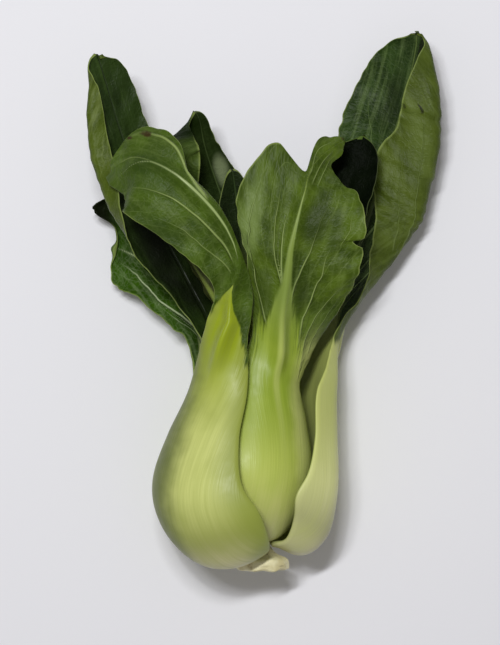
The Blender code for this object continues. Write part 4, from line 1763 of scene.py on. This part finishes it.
# This leaf's near-black greens are painted shade: it lies deep under the front leaf and the right leaf's
# fold.
INNER_RIGHT_SKIN = LeafSkin(
    "inner_right_leaf_painted_shade",
    inner_blade=Tint(5, 10, 3),
    inner_light=Tint(9, 15, 5),
    inner_vein=Tint(22, 30, 14),
    margin=Tint(84, 94, 58),
    neck=Tint(60, 76, 30),
    rib_tip=Tint(14, 22, 8),
    side_share=0.15,
    blade_shine=0.02,
)
INNER_RIGHT_LEAF = Leaf(
    name="leaf_inner_right",
    slot="heart_leaf",
    ring=RingName.HEART,
    centre=(0, 0, 0, 0, -2, -6, -12),
    span=(52, 52, 52, 50, 46, 42, 38),
    blade=(
        Bend((14, 56, 28), -20, (7, 0, 34), (7, 0, 34), 2.8),
        Bend((20, 72, 29), -40, (9, 1, 26), (9, 0, 26), 2.4),
        Bend((27, 88, 30), -58, (11, 2, 20), (12, 0, 20), 2.0),
        Bend((33, 104, 30.5), -68, (11, 2, 18), (13, 0, 18), 1.7),
        Bend((38.5, 119, 31), -74, (9, 1, 18), (11, 0, 18), 1.3),
        Bend((42, 131, 31), -78, (4.5, -1, 18), (6, -2, 18), 0.8),
    ),
    rise=HEART_RISE,
    wave=0.5,
    waves=5.0,
    phase=1.7,
    skin=INNER_RIGHT_SKIN,
    midrib=Midrib(
        ((45, 0, 12, 12), (62, 0, 5, 5), (72, 0, 2, 2), (90, 0, -0.4, -0.4), (150, 0, -0.4, -0.4))
    ),
    rib_spread=1.4,
    neck=78.0,
    seed=21,
)
HEART_SKIN = LeafSkin(
    "heart_leaf_green",
    outer_blade=Tint(44, 50, 22),
    outer_light=Tint(66, 72, 32),
    inner_blade=Tint(40, 48, 20),
    margin=Tint(176, 182, 90),
    stalk=Tint(150, 164, 66),
    neck=Tint(108, 128, 46),
    rib_tip=Tint(84, 92, 40),
)
HEART_LEAF = Leaf(
    name="leaf_heart_left",
    slot="heart_leaf",
    ring=RingName.HEART,
    centre=(120, 120, 120, 121, 124, 128, 134),
    span=(50, 50, 50, 48, 42, 36, 30),
    blade=(
        Bend((-4, 54, 36), 138, (5.5, 0, 30), (5.5, 0, 30), 2.4),
        Bend((-9, 66, 37), 142, (6.5, 0, 30), (6.5, 0, 30), 2.0),
        Bend((-16, 78, 36), 146, (6.5, 0, 34), (6.5, 0, 34), 1.5),
        Bend((-23, 88, 33), 150, (2.0, 0, 30), (2.5, 0, 30), 0.8),
    ),
    rise=HEART_RISE,
    wave=0.5,
    waves=4.0,
    skin=HEART_SKIN,
    midrib=Midrib(
        ((45, 0, 10, 10), (62, 0, 6, 6), (76, 0, 2.5, 2.5), (100, 0, 0.6, 0.6), (112, 0, 0.2, 0.2))
    ),
    neck=72.0,
    seed=24,
    half_columns=26,
)
HEART_BACK_SKIN = LeafSkin(
    "heart_back_leaf_green",
    inner_blade=Tint(22, 32, 12),
    inner_light=Tint(30, 43, 16),
    inner_vein=Tint(66, 84, 44),
    rib_tip=Tint(46, 62, 28),
    side_share=0.12,
)
HEART_BACK_LEAF = Leaf(
    name="leaf_heart_back",
    slot="heart_leaf",
    ring=RingName.HEART,
    centre=(240, 240, 240, 240, 240, 240, 242),
    span=(48, 48, 48, 46, 42, 38, 34),
    blade=(
        Bend((1, 56, 22), 248, (6.5, 0, 28), (6.5, 0, 28), 2.4),
        Bend((-1, 74, 22), 254, (8.5, 0, 24), (8.5, 0, 24), 2.0),
        Bend((-3, 92, 24), 258, (9.0, 0, 22), (9.0, 0, 22), 1.7),
        Bend((-5, 107, 28), 262, (7.0, 0, 24), (7.0, 0, 24), 1.3),
        Bend((-6.5, 118, 32), 264, (2.0, 0, 24), (2.5, 0, 24), 0.8),
    ),
    rise=HEART_RISE,
    wave=0.6,
    waves=5.0,
    phase=0.3,
    skin=HEART_BACK_SKIN,
    midrib=Midrib(
        ((45, 0, 10, 10), (62, 0, 6, 6), (78, 0, 2.5, 2.5), (110, 0, 0.8, 0.8), (138, 0, 0.2, 0.2))
    ),
    neck=76.0,
    seed=27,
    half_columns=26,
)

# The head's pieces, from the stem and the outer leaves to its heart.
HEAD: tuple[HeadPiece, ...] = (
    StemBase(),
    FRONT_LEFT_LEAF,
    RIGHT_LEAF,
    BACK_LEFT_LEAF,
    FRONT_LEAF,
    BACK_LEAF,
    LEFT_LEAF,
    INNER_RIGHT_LEAF,
    HEART_LEAF,
    HEART_BACK_LEAF,
)


def main() -> None:
    """Builds the head, the table, the light and the camera, and logs each piece's faces."""
    logging.basicConfig(level=logging.INFO, format="%(message)s")
    OverheadCamera().place()
    PaleTable().build()
    Studio().light()
    bpy.context.scene.view_settings.view_transform = "Standard"
    for part in HEAD:
        piece = part.dress(part.build())
        LOG.info("%s: %d faces", piece.name, len(piece.data.polygons))
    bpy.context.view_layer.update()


if __name__ == "__main__":
    main()
